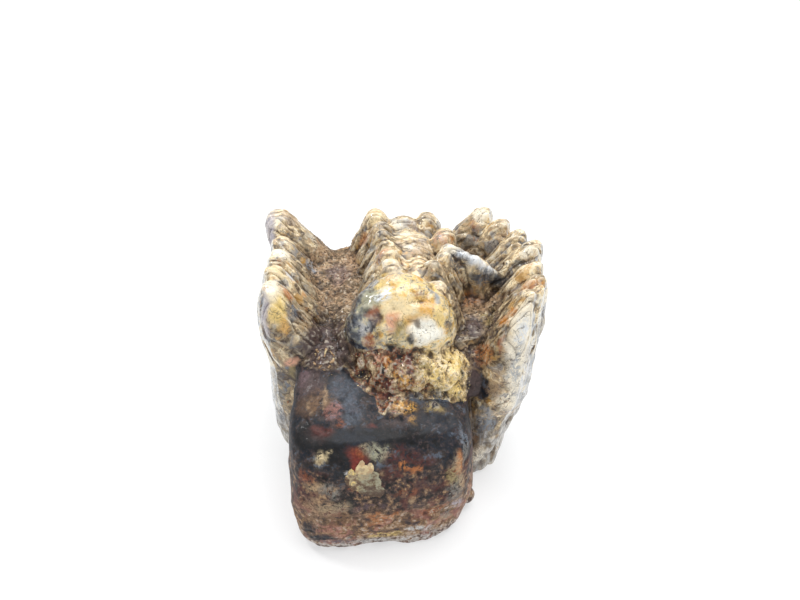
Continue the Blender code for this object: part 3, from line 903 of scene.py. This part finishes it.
class Tree:
    """Short ways to add nodes to a node tree."""

    def __init__(self, tree):
        self.nodes, self.links = tree.nodes, tree.links

    def add(self, kind, values=None, **settings):
        node = self.nodes.new(kind)
        for name, value in settings.items():
            setattr(node, name, value)
        for socket, value in (values or {}).items():
            if isinstance(value, bpy.types.NodeSocket):
                self.links.new(value, node.inputs[socket])
            else:
                node.inputs[socket].default_value = value
        return node

    def math(self, operation, a, b=0.0, clamp=False):
        return self.add("ShaderNodeMath", {0: a, 1: b}, operation=operation, use_clamp=clamp).outputs[0]

    def plus(self, a, b):
        return self.math("ADD", a, b)

    def minus(self, a, b):
        return self.math("SUBTRACT", a, b)

    def times(self, a, b):
        return self.math("MULTIPLY", a, b)

    def vector(self, operation, a, b):
        return self.add("ShaderNodeVectorMath", {0: a, 1: b}, operation=operation).outputs[0]

    def mix(self, share, a, b, blend="MIX"):
        """b laid over a; b may be a palette colour's name."""
        values = {0: share, 6: a, 7: linear(b) if isinstance(b, str) else b}
        made = self.add("ShaderNodeMix", values, data_type="RGBA", blend_type=blend, clamp_factor=True)
        return made.outputs[2]

    def blend_numbers(self, share, a, b):
        return self.add("ShaderNodeMix", {0: share, 2: a, 3: b}, data_type="FLOAT").outputs[0]

    def fade(self, value, low, high, top=1.0):
        values = {"Value": value, "From Min": low, "From Max": high, "To Min": 0.0, "To Max": top}
        return self.add("ShaderNodeMapRange", values, interpolation_type="SMOOTHSTEP").outputs[0]

    def noise(self, place, length, detail=3.0, rough=0.55, output="Fac"):
        values = {"Vector": place, "Scale": 1.0 / length, "Detail": detail, "Roughness": rough}
        return self.add("ShaderNodeTexNoise", values).outputs[output]

    def cells(self, place, scale, **settings):
        values = {"Vector": place, "Scale": scale, "Randomness": 1.0}
        return self.add("ShaderNodeTexVoronoi", values, **settings).outputs["Distance"]

    def ramp(self, value, name):
        """A row of palette colours at rising values, blended between them."""
        stops = RAMPS[name]
        node = self.add("ShaderNodeValToRGB", {"Fac": value})
        elements = node.color_ramp.elements
        elements[1].position = 1.0
        elements[0].position, elements[0].color = stops[0][0], linear(stops[0][1])
        for position, name in stops[1:-1]:
            elements.new(position).color = linear(name)
        elements[-1].position, elements[-1].color = stops[-1][0], linear(stops[-1][1])
        return node.outputs["Color"]

    def mask(self, name):
        return self.add("ShaderNodeAttribute", attribute_name=name).outputs["Fac"]


def stretched(t, place, lengths):
    """Coordinates in which a noise of length 1 is as long as lengths say along X, Y and Z."""
    return t.vector("DIVIDE", place, lengths)


def base_colours(t, place, curled, masks, middling, broad):
    """The colours of the regions, before any stain."""
    plates = t.noise(stretched(t, curled, (5.0, 1.7, 5.0)), 1.0, 4.0, 0.55)
    fibres = t.noise(stretched(t, place, (1.0, 1.0, 6.0)), 1.0, 4.0, 0.6)
    mottle = t.noise(curled, 1.9, 5.0, 0.66)
    speckle = t.noise(place, 1.5, 5.0, 0.7)
    strata = t.noise(stretched(t, place, (4.0, 4.0, 1.1)), 1.0, 5.0, 0.65)
    patches = t.noise(t.vector("ADD", curled, (40.0, 10.0, 0.0)), 4.5, 3.0, 0.5)
    axes = t.add("ShaderNodeSeparateXYZ", {"Vector": place}).outputs

    # Ridges: marbled enamel, cream on its crests, with painted shade in dark brown and khaki down the lower
    # flanks
    marble = t.plus(t.times(plates, 0.65), t.times(mottle, 0.35))
    marble = t.plus(marble, t.times(t.mask("crest"), 0.05))
    colour = t.ramp(marble, "ridges")
    colour = t.mix(t.fade(patches, 0.56, 0.66, 0.6), colour, "blue_grey")
    colour = t.mix(t.fade(patches, 0.42, 0.34, 0.55), colour, "honey")
    colour = t.mix(t.fade(middling, 0.60, 0.68, 0.6), colour, "slate")
    colour = t.mix(t.fade(middling, 0.38, 0.30, 0.5), colour, "orange")

    # painted shade on the lower flanks, just above the valley floors
    painted_flank_shade = t.ramp(mottle, "flanks")
    colour = t.mix(t.times(masks["flank"], 0.3), colour, painted_flank_shade)

    # Outer faces: pale fibrous enamel with blue-grey and tan in it
    thread = t.plus(t.times(fibres, 0.6), t.times(middling, 0.4))
    outer = t.ramp(thread, "outer_faces")
    outer = t.mix(t.fade(patches, 0.54, 0.64, 0.6), outer, "blue_grey")
    outer = t.mix(t.fade(broad, 0.54, 0.64, 0.5), outer, "khaki")
    colour = t.mix(t.times(masks["outside"], 0.9), colour, outer)

    dentine = t.ramp(thread, "roots")
    dentine = t.mix(t.fade(broad, 0.5, 0.62, 0.5), dentine, "slate")
    colour = t.mix(t.times(masks["root"], 0.8), colour, dentine)

    # Valleys: dark purple-brown matrix in front, paler sand towards the back
    near_sand = t.ramp(mottle, "near_sand")
    far_sand = t.ramp(mottle, "far_sand")
    valley = t.mix(t.fade(axes["Y"], -8.0, 8.0), near_sand, far_sand)
    colour = t.mix(masks["valley"], colour, valley)

    # Crust: rust, olive and grey on the left, cream and ochre on the right
    crumb = t.plus(t.times(speckle, 0.5), t.times(middling, 0.5))
    left = t.ramp(crumb, "left_crust")
    right = t.ramp(crumb, "right_crust")
    side = t.plus(axes["X"], t.times(t.minus(broad, 0.5), 20.0))
    crust = t.mix(t.fade(side, 1.0, 7.0), left, right)
    colour = t.mix(masks["crust"], colour, crust)

    # Knob: glazed cream and honey, with painted shade in dark slate round its left side
    glaze = t.ramp(mottle, "knob_glaze")
    shaded = t.ramp(middling, "knob_shade")
    turn = t.plus(axes["X"], t.times(t.minus(middling, 0.5), 14.0))
    # painted shade: the knob darkens to slate towards its left side
    glaze = t.mix(t.fade(turn, -4.5, -7.5), glaze, shaded)
    colour = t.mix(t.times(masks["knob"], 0.95), colour, glaze)

    # Root block: slate above, partly a painted sheen on the leaning upper face, black and dark brown in
    # front, warm brown at the foot
    dark = t.ramp(speckle, "block_front")
    dark = t.mix(t.fade(patches, 0.50, 0.60, 0.6), dark, "dark_red")
    dark = t.mix(t.fade(crumb, 0.53, 0.64, 0.35), dark, "sand")
    # the leaning upper face: dark colours with slate that is partly a painted sheen
    top = t.ramp(middling, "block_top")
    top = t.mix(t.fade(speckle, 0.50, 0.62, 0.7), top, "purple_brown")
    layered = t.plus(t.times(strata, 0.4), t.times(speckle, 0.6))
    foot = t.ramp(layered, "block_foot")
    foot = t.mix(t.fade(patches, 0.52, 0.62, 0.5), foot, "pink")
    rim = t.times(t.fade(axes["Z"], 6.0, 1.5), t.fade(speckle, 0.42, 0.54, 0.7))
    foot = t.mix(rim, foot, "pale_grey")
    level = t.plus(axes["Z"], t.times(t.minus(broad, 0.5), 14.0))
    block = t.mix(t.fade(level, 22.0, 27.0), dark, top)
    block = t.mix(t.fade(level, 18.0, 8.0), block, foot)
    return t.mix(masks["block"], colour, block)


def stain_layer(mesh, name, stains, sight):
    """Stores, at each point, the colour of the stains laid over each other and how much they cover."""
    points = coordinates(mesh) / MM
    swirl = np.array([noise.noise_vector(p) for p in (points / 4.5).tolist()])
    ragged = np.array([noise.noise_vector(p) for p in (points / 1.4).tolist()])
    warped = points + 1.5 * swirl + 0.6 * ragged
    layer = np.zeros((len(points), 4))
    for colour_name, pixel, half_sizes, strength in stains:
        away = np.linalg.norm((warped - np.array(seen_at(sight, pixel))) / np.array(half_sizes), axis=1)
        share = ((1.0 - fade(0.55, 1.3, away)) * strength)[:, None]
        layer = layer * (1.0 - share) + np.array(linear(colour_name)) * share
    stored = mesh.attributes.new(name, "FLOAT_COLOR", "POINT")
    stored.data.foreach_set("color", layer.astype(np.float32).ravel())


def laid_over(t, colour, name, ragged, flecks):
    """colour with a layer of stains on it, its edges frayed and broken up by flecks."""
    stain = t.add("ShaderNodeAttribute", attribute_name=name).outputs
    cover = t.math("MAXIMUM", stain["Alpha"], 0.001)
    values = {0: stain["Color"], 3: t.math("DIVIDE", 1.0, cover)}
    paint = t.add("ShaderNodeVectorMath", values, operation="SCALE").outputs[0]
    frayed = t.math("ADD", cover, t.times(ragged, t.fade(cover, 0.02, 0.3)), clamp=True)
    return t.mix(t.times(frayed, flecks), colour, paint)


def new_material(name):
    """An unfinished material, its tree, its shader and the place on the tooth in millimetres."""
    made = bpy.data.materials.new(name)
    made.use_nodes = True
    t = Tree(made.node_tree)
    place = t.add("ShaderNodeTexCoord").outputs["Object"]
    return made, t, made.node_tree.nodes["Principled BSDF"], t.vector("DIVIDE", place, (MM, MM, MM))


def fossil_material():
    """Polished fossil enamel with dark dentine, pitted crust and stony matrix."""
    made, t, shader, place = new_material("fossil_enamel_worn")

    names = ("crust", "knob", "block", "valley", "crest", "root", "flank", "outside")
    edge = t.minus(t.noise(place, 2.2, 4.0, 0.6), 0.5)
    masks = {}
    for name in names:
        rough_edge = t.plus(t.mask(name), t.times(edge, 0.7))
        softness = 0.4 if name == "root" else 0.15
        masks[name] = t.fade(rough_edge, 0.5 - softness, 0.5 + softness)

    fine = t.noise(place, 0.55, 3.0, 0.6)
    middling = t.noise(place, 2.4, 4.0, 0.6)
    broad = t.noise(place, 8.0, 3.0)
    swirl = t.vector("SUBTRACT", t.noise(place, 4.0, 2.0, 0.5, "Color"), (0.5, 0.5, 0.5))
    curled = t.vector("ADD", place, t.vector("MULTIPLY", swirl, (7.0, 7.0, 7.0)))
    colour = base_colours(t, place, curled, masks, middling, broad)

    ragged = t.minus(t.noise(curled, 0.9, 4.0, 0.65), 0.5)
    flecks = t.fade(t.noise(curled, 1.2, 5.0, 0.7), 0.40, 0.54)
    colour = laid_over(t, colour, "plain_stains", t.times(ragged, 1.2), 1.0)
    colour = laid_over(t, colour, "flecked_stains", ragged, flecks)

    # Thin veins between the plates
    swaying = t.noise(stretched(t, curled, (3.6, 2.0, 3.6)), 1.0, 3.0, 0.5)
    veins = t.fade(t.math("ABSOLUTE", t.minus(swaying, 0.5)), 0.016, 0.003)
    veins = t.times(veins, t.fade(broad, 0.44, 0.54, 0.7))
    rougher = t.math("MAXIMUM", masks["crust"], masks["block"])
    veins = t.times(veins, t.minus(1.0, rougher))
    colour = t.mix(veins, colour, "umber")

    # Fine dark cracks, thickest in some patches
    cracks = t.cells(curled, 0.28, feature="DISTANCE_TO_EDGE")
    lines = t.times(t.fade(cracks, 0.04, 0.01), t.fade(middling, 0.48, 0.58, 0.6))
    polished = t.math("MAXIMUM", masks["knob"], masks["block"])
    lines = t.times(lines, t.minus(1.0, polished))
    colour = t.mix(lines, colour, "dark_umber")

    # Painted shade in the grooves and hollows, painted highlight on the edges, grain everywhere
    groove, hollow = t.mask("groove"), t.mask("hollow")
    # painted shade darkening the fine creases
    painted_crease_shade = t.fade(groove, 0.1, 0.9, 0.6)
    colour = t.mix(painted_crease_shade, colour, "umber", "MULTIPLY")
    # painted shade darkening the hollows between the pillars and at the valley floors
    colour = t.mix(t.fade(hollow, 0.1, 0.8, 0.68), colour, "brown", "MULTIPLY")
    # painted highlight lightening the edges, away from the block
    light = t.times(t.fade(groove, -0.2, -0.9, 0.3), t.minus(1.0, masks["block"]))
    colour = t.mix(light, colour, "white_cream")
    gritty = t.math("MAXIMUM", t.math("MAXIMUM", masks["valley"], masks["crust"]), masks["block"])
    grain = t.times(t.minus(fine, 0.52), t.blend_numbers(gritty, 0.7, 1.6))
    grain = t.plus(grain, 1.0)
    grey = t.add("ShaderNodeCombineColor", {0: grain, 1: grain, 2: grain}).outputs[0]
    colour = t.mix(1.0, colour, grey, "MULTIPLY")

    # Dark dots and light sparks
    dots = t.times(t.fade(t.cells(place, 1.3), 0.16, 0.08), t.fade(middling, 0.5, 0.6))
    dots = t.times(dots, t.minus(0.6, t.times(masks["knob"], 0.5)))
    colour = t.mix(dots, colour, "dark_umber")
    sparks = t.times(t.fade(t.cells(place, 1.9), 0.13, 0.06), t.fade(broad, 0.46, 0.56))
    sparks = t.times(sparks, t.math("MAXIMUM", masks["block"], masks["valley"]))
    colour = t.mix(t.times(sparks, 0.5), colour, "brown")
    t.links.new(colour, shader.inputs["Base Color"])

    rough = t.blend_numbers(fine, 0.22, 0.42)
    rough = t.blend_numbers(masks["knob"], rough, 0.14)
    rough = t.blend_numbers(masks["crust"], rough, 0.5)
    rough = t.blend_numbers(masks["valley"], rough, 0.78)
    rough = t.blend_numbers(masks["block"], rough, t.blend_numbers(middling, 0.45, 0.75))
    t.links.new(rough, shader.inputs["Roughness"])
    shader.inputs["Specular IOR Level"].default_value = 0.3
    coat = t.blend_numbers(masks["knob"], t.blend_numbers(masks["block"], 0.25, 0.05), 0.45)
    t.links.new(coat, shader.inputs["Coat Weight"])
    shader.inputs["Coat Roughness"].default_value = 0.07

    grit = t.math("MAXIMUM", masks["valley"], masks["crust"])
    height = t.times(fine, t.blend_numbers(grit, 0.35, 1.0))
    height = t.plus(height, t.times(middling, 0.8))
    values = {"Height": height, "Strength": 0.5, "Distance": 0.25 * MM}
    bump = t.add("ShaderNodeBump", values).outputs["Normal"]
    t.links.new(bump, shader.inputs["Normal"])
    return made


def grain_material(name, dark, light, warm):
    """Loose-looking grains, each a colour of its own."""
    made, t, shader, place = new_material(name)
    broad = t.noise(place, 0.9, 2.0)
    fine = t.noise(place, 0.25, 3.0, 0.6)
    colour = t.mix(t.fade(broad, 0.4, 0.6), linear(dark), light)
    tint = t.noise(t.vector("ADD", place, (50.0, 0.0, 0.0)), 1.3, 2.0)
    colour = t.mix(t.fade(tint, 0.52, 0.62), colour, warm)
    colour = t.mix(t.fade(fine, 0.35, 0.65, 0.4), colour, dark)
    t.links.new(colour, shader.inputs["Base Color"])
    t.links.new(t.blend_numbers(fine, 0.5, 0.8), shader.inputs["Roughness"])
    shader.inputs["Specular IOR Level"].default_value = 0.3
    values = {"Height": fine, "Strength": 0.4, "Distance": 0.1 * MM}
    t.links.new(t.add("ShaderNodeBump", values).outputs["Normal"], shader.inputs["Normal"])
    return made


def pale_stone_material():
    """Cloudy pale stone, yellowish on its left, grey-green on its right and brown at its foot."""
    made, t, shader, place = new_material("pale_stone")
    cloud = t.noise(place, 1.8, 4.0, 0.6)
    fine = t.noise(place, 0.5, 4.0, 0.65)
    axes = t.add("ShaderNodeSeparateXYZ", {"Vector": place}).outputs
    left = t.ramp(cloud, "pale_stone_left")
    right = t.ramp(cloud, "pale_stone_right")
    across = t.plus(axes["X"], t.times(t.minus(fine, 0.5), 5.0))
    colour = t.mix(t.fade(across, -10.6, -8.2), left, right)
    height = t.plus(axes["Z"], t.times(t.minus(fine, 0.5), 9.0))
    colour = t.mix(t.fade(height, 22.6, 19.6), colour, "umber")
    colour = t.mix(t.fade(fine, 0.50, 0.38, 0.6), colour, "driftwood")
    t.links.new(colour, shader.inputs["Base Color"])
    t.links.new(t.blend_numbers(fine, 0.3, 0.5), shader.inputs["Roughness"])
    shader.inputs["Specular IOR Level"].default_value = 0.3
    return made


def grain_tree():
    """Geometry nodes that strew stony grains over a mesh, thickest where its mask is 1."""
    tree = bpy.data.node_groups.new("strewn_grains", "GeometryNodeTree")
    face = tree.interface
    face.new_socket("Skin", in_out="INPUT", socket_type="NodeSocketGeometry")
    for name in ("Mask", "Grains per square metre", "Smallest", "Largest"):
        face.new_socket(name, in_out="INPUT", socket_type="NodeSocketFloat")
    face.new_socket("Seed", in_out="INPUT", socket_type="NodeSocketInt")
    face.new_socket("Material", in_out="INPUT", socket_type="NodeSocketMaterial")
    face.new_socket("Grains", in_out="OUTPUT", socket_type="NodeSocketGeometry")
    t = Tree(tree)
    given = t.add("NodeGroupInput").outputs
    density = t.times(given["Mask"], given["Grains per square metre"])
    strewn = t.add(
        "GeometryNodeDistributePointsOnFaces",
        {"Mesh": given["Skin"], "Density": density, "Seed": given["Seed"]},
        distribute_method="RANDOM",
    )
    ball = t.add("GeometryNodeMeshIcoSphere", {"Radius": 1.0, "Subdivisions": 1})
    least = t.add("ShaderNodeCombineXYZ", {axis: given["Smallest"] for axis in range(3)})
    most = t.add("ShaderNodeCombineXYZ", {axis: given["Largest"] for axis in range(3)})
    sizes = t.add(
        "FunctionNodeRandomValue",
        {0: least.outputs[0], 1: most.outputs[0], "Seed": given["Seed"]},
        data_type="FLOAT_VECTOR",
    )
    turns = t.add(
        "FunctionNodeRandomValue",
        {0: (0.0, 0.0, 0.0), 1: (math.tau, math.tau, math.tau), "Seed": 7},
        data_type="FLOAT_VECTOR",
    )
    spread = t.add(
        "GeometryNodeInstanceOnPoints",
        {
            "Points": strewn.outputs["Points"],
            "Instance": ball.outputs["Mesh"],
            "Rotation": turns.outputs[0],
            "Scale": sizes.outputs[0],
        },
    )
    real = t.add("GeometryNodeRealizeInstances", {"Geometry": spread.outputs[0]})
    painted = t.add("GeometryNodeSetMaterial", {"Geometry": real.outputs[0], "Material": given["Material"]})
    t.add("NodeGroupOutput", {"Grains": painted.outputs[0]})
    return tree


def socket_named(tree, name):
    for item in tree.interface.items_tree:
        if item.item_type == "SOCKET" and item.in_out == "INPUT" and item.name == name:
            return item.identifier
    raise KeyError(name)


def strewn(name, skin, tree, mask, material, sizes):
    """A piece of grains strewn over skin where mask is high."""
    piece = placed(name, skin.data.copy())
    modifier = piece.modifiers.new("grains", "NODES")
    modifier.node_group = tree
    identifier = socket_named(tree, "Mask")
    modifier[identifier + "_use_attribute"] = True
    modifier[identifier + "_attribute_name"] = mask
    modifier[socket_named(tree, "Material")] = material
    for label, value in sizes.items():
        modifier[socket_named(tree, label)] = value
    mesh = applied(piece)
    old = piece.data
    piece.modifiers.clear()
    piece.data = mesh
    bpy.data.meshes.remove(old)
    return piece


def keep_inside(piece):
    """Holds a piece's points inside the solid's box."""
    low, high = np.array(cad_box[0]), np.array(cad_box[1])
    set_coordinates(piece.data, np.clip(coordinates(piece.data), low, high))


def add_to_tooth(piece, *nodes):
    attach(piece, "root")
    if nodes:
        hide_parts(*nodes)


# Camera
camera_data = bpy.data.cameras.new("photo_camera")
camera_data.lens = CAMERA_LENS
camera_data.sensor_width = CAMERA_SENSOR
camera_data.clip_start = 0.005
camera = placed("photo_camera", camera_data)
camera.location = (CAMERA_FROM_WORK + FRAME_FROM_WORK) * MM
camera.rotation_euler = (CAMERA_TILT, 0.0, 0.0)
bpy.context.scene.camera = camera


def looked_at(tree, pixel):
    """The point and normal of the surface that the camera sees at a pixel, in metres, or None."""
    focal = IMAGE_WIDTH * CAMERA_LENS / CAMERA_SENSOR
    right = (pixel[0] - IMAGE_WIDTH / 2) / focal
    up = (IMAGE_HEIGHT / 2 - pixel[1]) / focal
    direction = Euler((CAMERA_TILT, 0.0, 0.0)).to_matrix() @ Vector((right, up, -1.0))
    point, normal, _, _ = tree.ray_cast(camera.location, direction.normalized())
    return None if point is None else (point, normal)


def seen_at(tree, pixel):
    """The point, in millimetres, that the camera sees at a pixel or just inside it."""
    for inward in range(0, 12, 2):
        column = pixel[0] + inward * (1 if pixel[0] < IMAGE_WIDTH / 2 else -1)
        row = pixel[1] + inward * (1 if pixel[1] < IMAGE_HEIGHT / 2 else -1)
        found = looked_at(tree, (column, row))
        if found:
            return found[0] / MM
    raise ValueError(f"the camera sees no surface at {pixel}")


# Chips inlaid in the surface: the outline that the camera sees, in pixels
CROWN = [
    (355.2, 471.6), (355.6, 467.8), (358.2, 464.6), (360.2, 461.0), (362.8, 460.2), (364.4, 462.4),
    (364.8, 465.2), (367.2, 465.4), (369.4, 462.8), (371.6, 463.2), (373.6, 466.0), (373.8, 470.2),
    (371.2, 473.6), (366.6, 474.6), (360.6, 474.2), (357.0, 473.6),
]
PALE_CHIP = [
    (351.4, 468.6), (348.4, 471.0), (347.2, 474.4), (344.8, 477.2), (344.4, 481.6), (347.8, 484.0),
    (348.8, 487.6), (353.0, 490.4), (357.0, 491.0), (360.6, 494.6), (366.4, 494.2), (370.8, 497.4),
    (376.4, 496.2), (381.0, 497.0), (384.4, 493.2), (384.2, 488.4), (381.0, 485.6), (381.6, 481.6),
    (379.0, 477.4), (379.4, 473.4), (374.6, 471.4), (368.0, 472.0), (361.0, 471.2), (355.6, 472.4),
]
RING_CHIPS = [
    [(325.0, 349.0), (326.6, 347.8), (327.6, 349.6), (326.4, 351.6), (325.2, 357.2), (323.8, 357.0)],
    [(329.6, 351.4), (330.8, 351.2), (334.6, 355.0), (334.9, 356.6), (333.6, 356.8)],
    [
        (333.2, 357.8), (334.8, 358.8), (334.6, 361.2), (332.4, 363.4),
        (329.8, 363.2), (329.6, 362.2), (331.6, 360.6),
    ],
    [(315.4, 349.6), (317.0, 349.0), (319.2, 352.0), (318.2, 353.0), (316.2, 351.6)],
    [(314.6, 353.6), (316.0, 353.0), (316.6, 355.2), (315.4, 356.0)],
    [(319.2, 356.4), (320.2, 357.4), (318.8, 360.2), (317.8, 359.4)],
    [(313.0, 362.2), (314.4, 361.8), (316.4, 364.6), (315.4, 365.6), (313.8, 364.4)],
    [(318.8, 367.2), (320.4, 365.4), (322.2, 365.0), (321.2, 367.2), (318.6, 369.4)],
    [(322.0, 368.8), (324.6, 369.4), (325.6, 370.4), (323.2, 370.4)],
    [(327.4, 366.8), (329.4, 365.0), (331.0, 365.4), (330.4, 367.4), (328.2, 368.4)],
]


def within(outline, x, y):
    """Whether x, y lies inside a closed outline."""
    crossed = False
    for (x1, y1), (x2, y2) in zip(outline, outline[1:] + outline[:1]):
        if (y1 > y) != (y2 > y) and x < x1 + (y - y1) / (y2 - y1) * (x2 - x1):
            crossed = not crossed
    return crossed


def chips(name, tree, outlines, material, rise, step=0.45):
    """Thin closed flakes that stand out of the surface by rise, one for each outline."""
    bm = bmesh.new()
    for outline in outlines:
        corners = {}
        low_x, low_y = min(x for x, _ in outline), min(y for _, y in outline)
        columns = math.ceil((max(x for x, _ in outline) - low_x) / step)
        rows = math.ceil((max(y for _, y in outline) - low_y) / step)
        for i in range(columns):
            for j in range(rows):
                if not within(outline, low_x + (i + 0.5) * step, low_y + (j + 0.5) * step):
                    continue
                quad = []
                for key in ((i, j), (i, j + 1), (i + 1, j + 1), (i + 1, j)):
                    if key not in corners:
                        found = looked_at(tree, (low_x + key[0] * step, low_y + key[1] * step))
                        corners[key] = bm.verts.new(found[0] + found[1] * rise)
                    quad.append(corners[key])
                bm.faces.new(quad)
    flat = bpy.data.meshes.new(name)
    bm.to_mesh(flat)
    bm.free()
    flat = with_modifier(flat, "SMOOTH", iterations=1)
    shell = with_modifier(flat, "SOLIDIFY", thickness=1.6 * rise, offset=-1.0)
    shell.materials.clear()
    shell.materials.append(material)
    shell.shade_smooth()
    piece = placed(name, shell)
    keep_inside(piece)
    add_to_tooth(piece)


# The pieces
tooth = placed("fossil_tooth", tooth_skin())

surface = bmesh.new()
surface.from_mesh(tooth.data)
sight = BVHTree.FromBMesh(surface)
surface.free()
stain_layer(tooth.data, "plain_stains", PLAIN_STAINS, sight)
stain_layer(tooth.data, "flecked_stains", FLECKED_STAINS, sight)

tooth.data.materials.clear()
tooth.data.materials.append(fossil_material())
add_to_tooth(tooth, "tooth")

strewing = grain_tree()
# Grains: piece, where they lie, their colours, how many to a square metre, smallest, largest and seed
valley_sand = grain_material("valley_sand", "dark_umber", "driftwood", "purple_brown")
crust_crumbs = grain_material("crust_granules", "umber", "cream", "olive")
for name, where, material, density, smallest, largest, seed in (
    ("valley_grains", "valley", valley_sand, 0.8e6, 0.10, 0.26, 3),
    ("crust_granules", "crust", crust_crumbs, 0.3e6, 0.10, 0.34, 5),
):
    sizes = {"Grains per square metre": density, "Smallest": smallest * MM, "Largest": largest * MM}
    grains = strewn(name, tooth, strewing, where, material, {**sizes, "Seed": seed})
    keep_inside(grains)
    add_to_tooth(grains)

# Chips: piece, outlines, their colours and how far they stand out
crown_enamel = grain_material("crown_enamel", "tan", "dull_cream", "khaki")
light_flakes = grain_material("light_flakes", "brown", "tan", "dull_cream")
for name, outlines, material, rise in (
    ("pale_chip", [PALE_CHIP], pale_stone_material(), 0.05),
    ("crown_chip", [CROWN], crown_enamel, 0.16),
    ("ring_chips", RING_CHIPS, light_flakes, 0.12),
):
    chips(name, sight, outlines, material, rise * MM)

# Floor and light
FLOOR_HALF_WIDTH = 4.0
ROOM_WHITE, ROOM_GLOW = (0.98, 0.99, 1.0, 1.0), 0.5

floor_mesh = bpy.data.meshes.new("floor")
bm = bmesh.new()
bmesh.ops.create_grid(bm, x_segments=1, y_segments=1, size=FLOOR_HALF_WIDTH)
bm.to_mesh(floor_mesh)
bm.free()
floor_paint = bpy.data.materials.new("pale_floor")
floor_paint.use_nodes = True
floor_looks = {
    "Base Color": (0.5, 0.5, 0.5, 1.0),
    "Emission Color": ROOM_WHITE,
    "Emission Strength": ROOM_GLOW,
    "Roughness": 0.9,
    "Specular IOR Level": 0.1,
}
for socket, value in floor_looks.items():
    floor_paint.node_tree.nodes["Principled BSDF"].inputs[socket].default_value = value
floor_mesh.materials.append(floor_paint)
floor = placed("floor", floor_mesh)


def softbox(name, place, target, size, power, colour):
    """A square light that looks from place at target."""
    data = bpy.data.lights.new(name, "AREA")
    data.size = size
    data.energy = power
    data.color = colour
    light = placed(name, data)
    light.location = place
    light.rotation_mode = "QUATERNION"
    light.rotation_quaternion = (Vector(target) - Vector(place)).to_track_quat("-Z", "Y")


# The middle of the tooth, then each lamp: place, side in metres, power in watts and colour
TARGET = (0.0, 0.0, 0.03)
softbox("window", (-0.3, 0.12, 0.5), TARGET, 0.09, 1.0, (1.0, 1.0, 1.0))
softbox("front_fill", (0.15, -0.6, 0.35), TARGET, 0.5, 0.4, (0.97, 0.98, 1.0))

daylight = bpy.data.lights.new("daylight", "SUN")
daylight.energy = 2.5
daylight.angle = math.radians(50.0)
skylight = placed("daylight", daylight)
skylight.rotation_euler = (math.radians(-12.0), math.radians(13.0), 0.0)

world = bpy.data.worlds.new("pale_room")
world.use_nodes = True
background = world.node_tree.nodes["Background"]
background.inputs["Color"].default_value = ROOM_WHITE
background.inputs["Strength"].default_value = ROOM_GLOW
bpy.context.scene.world = world
bpy.context.scene.view_settings.view_transform = "Standard"
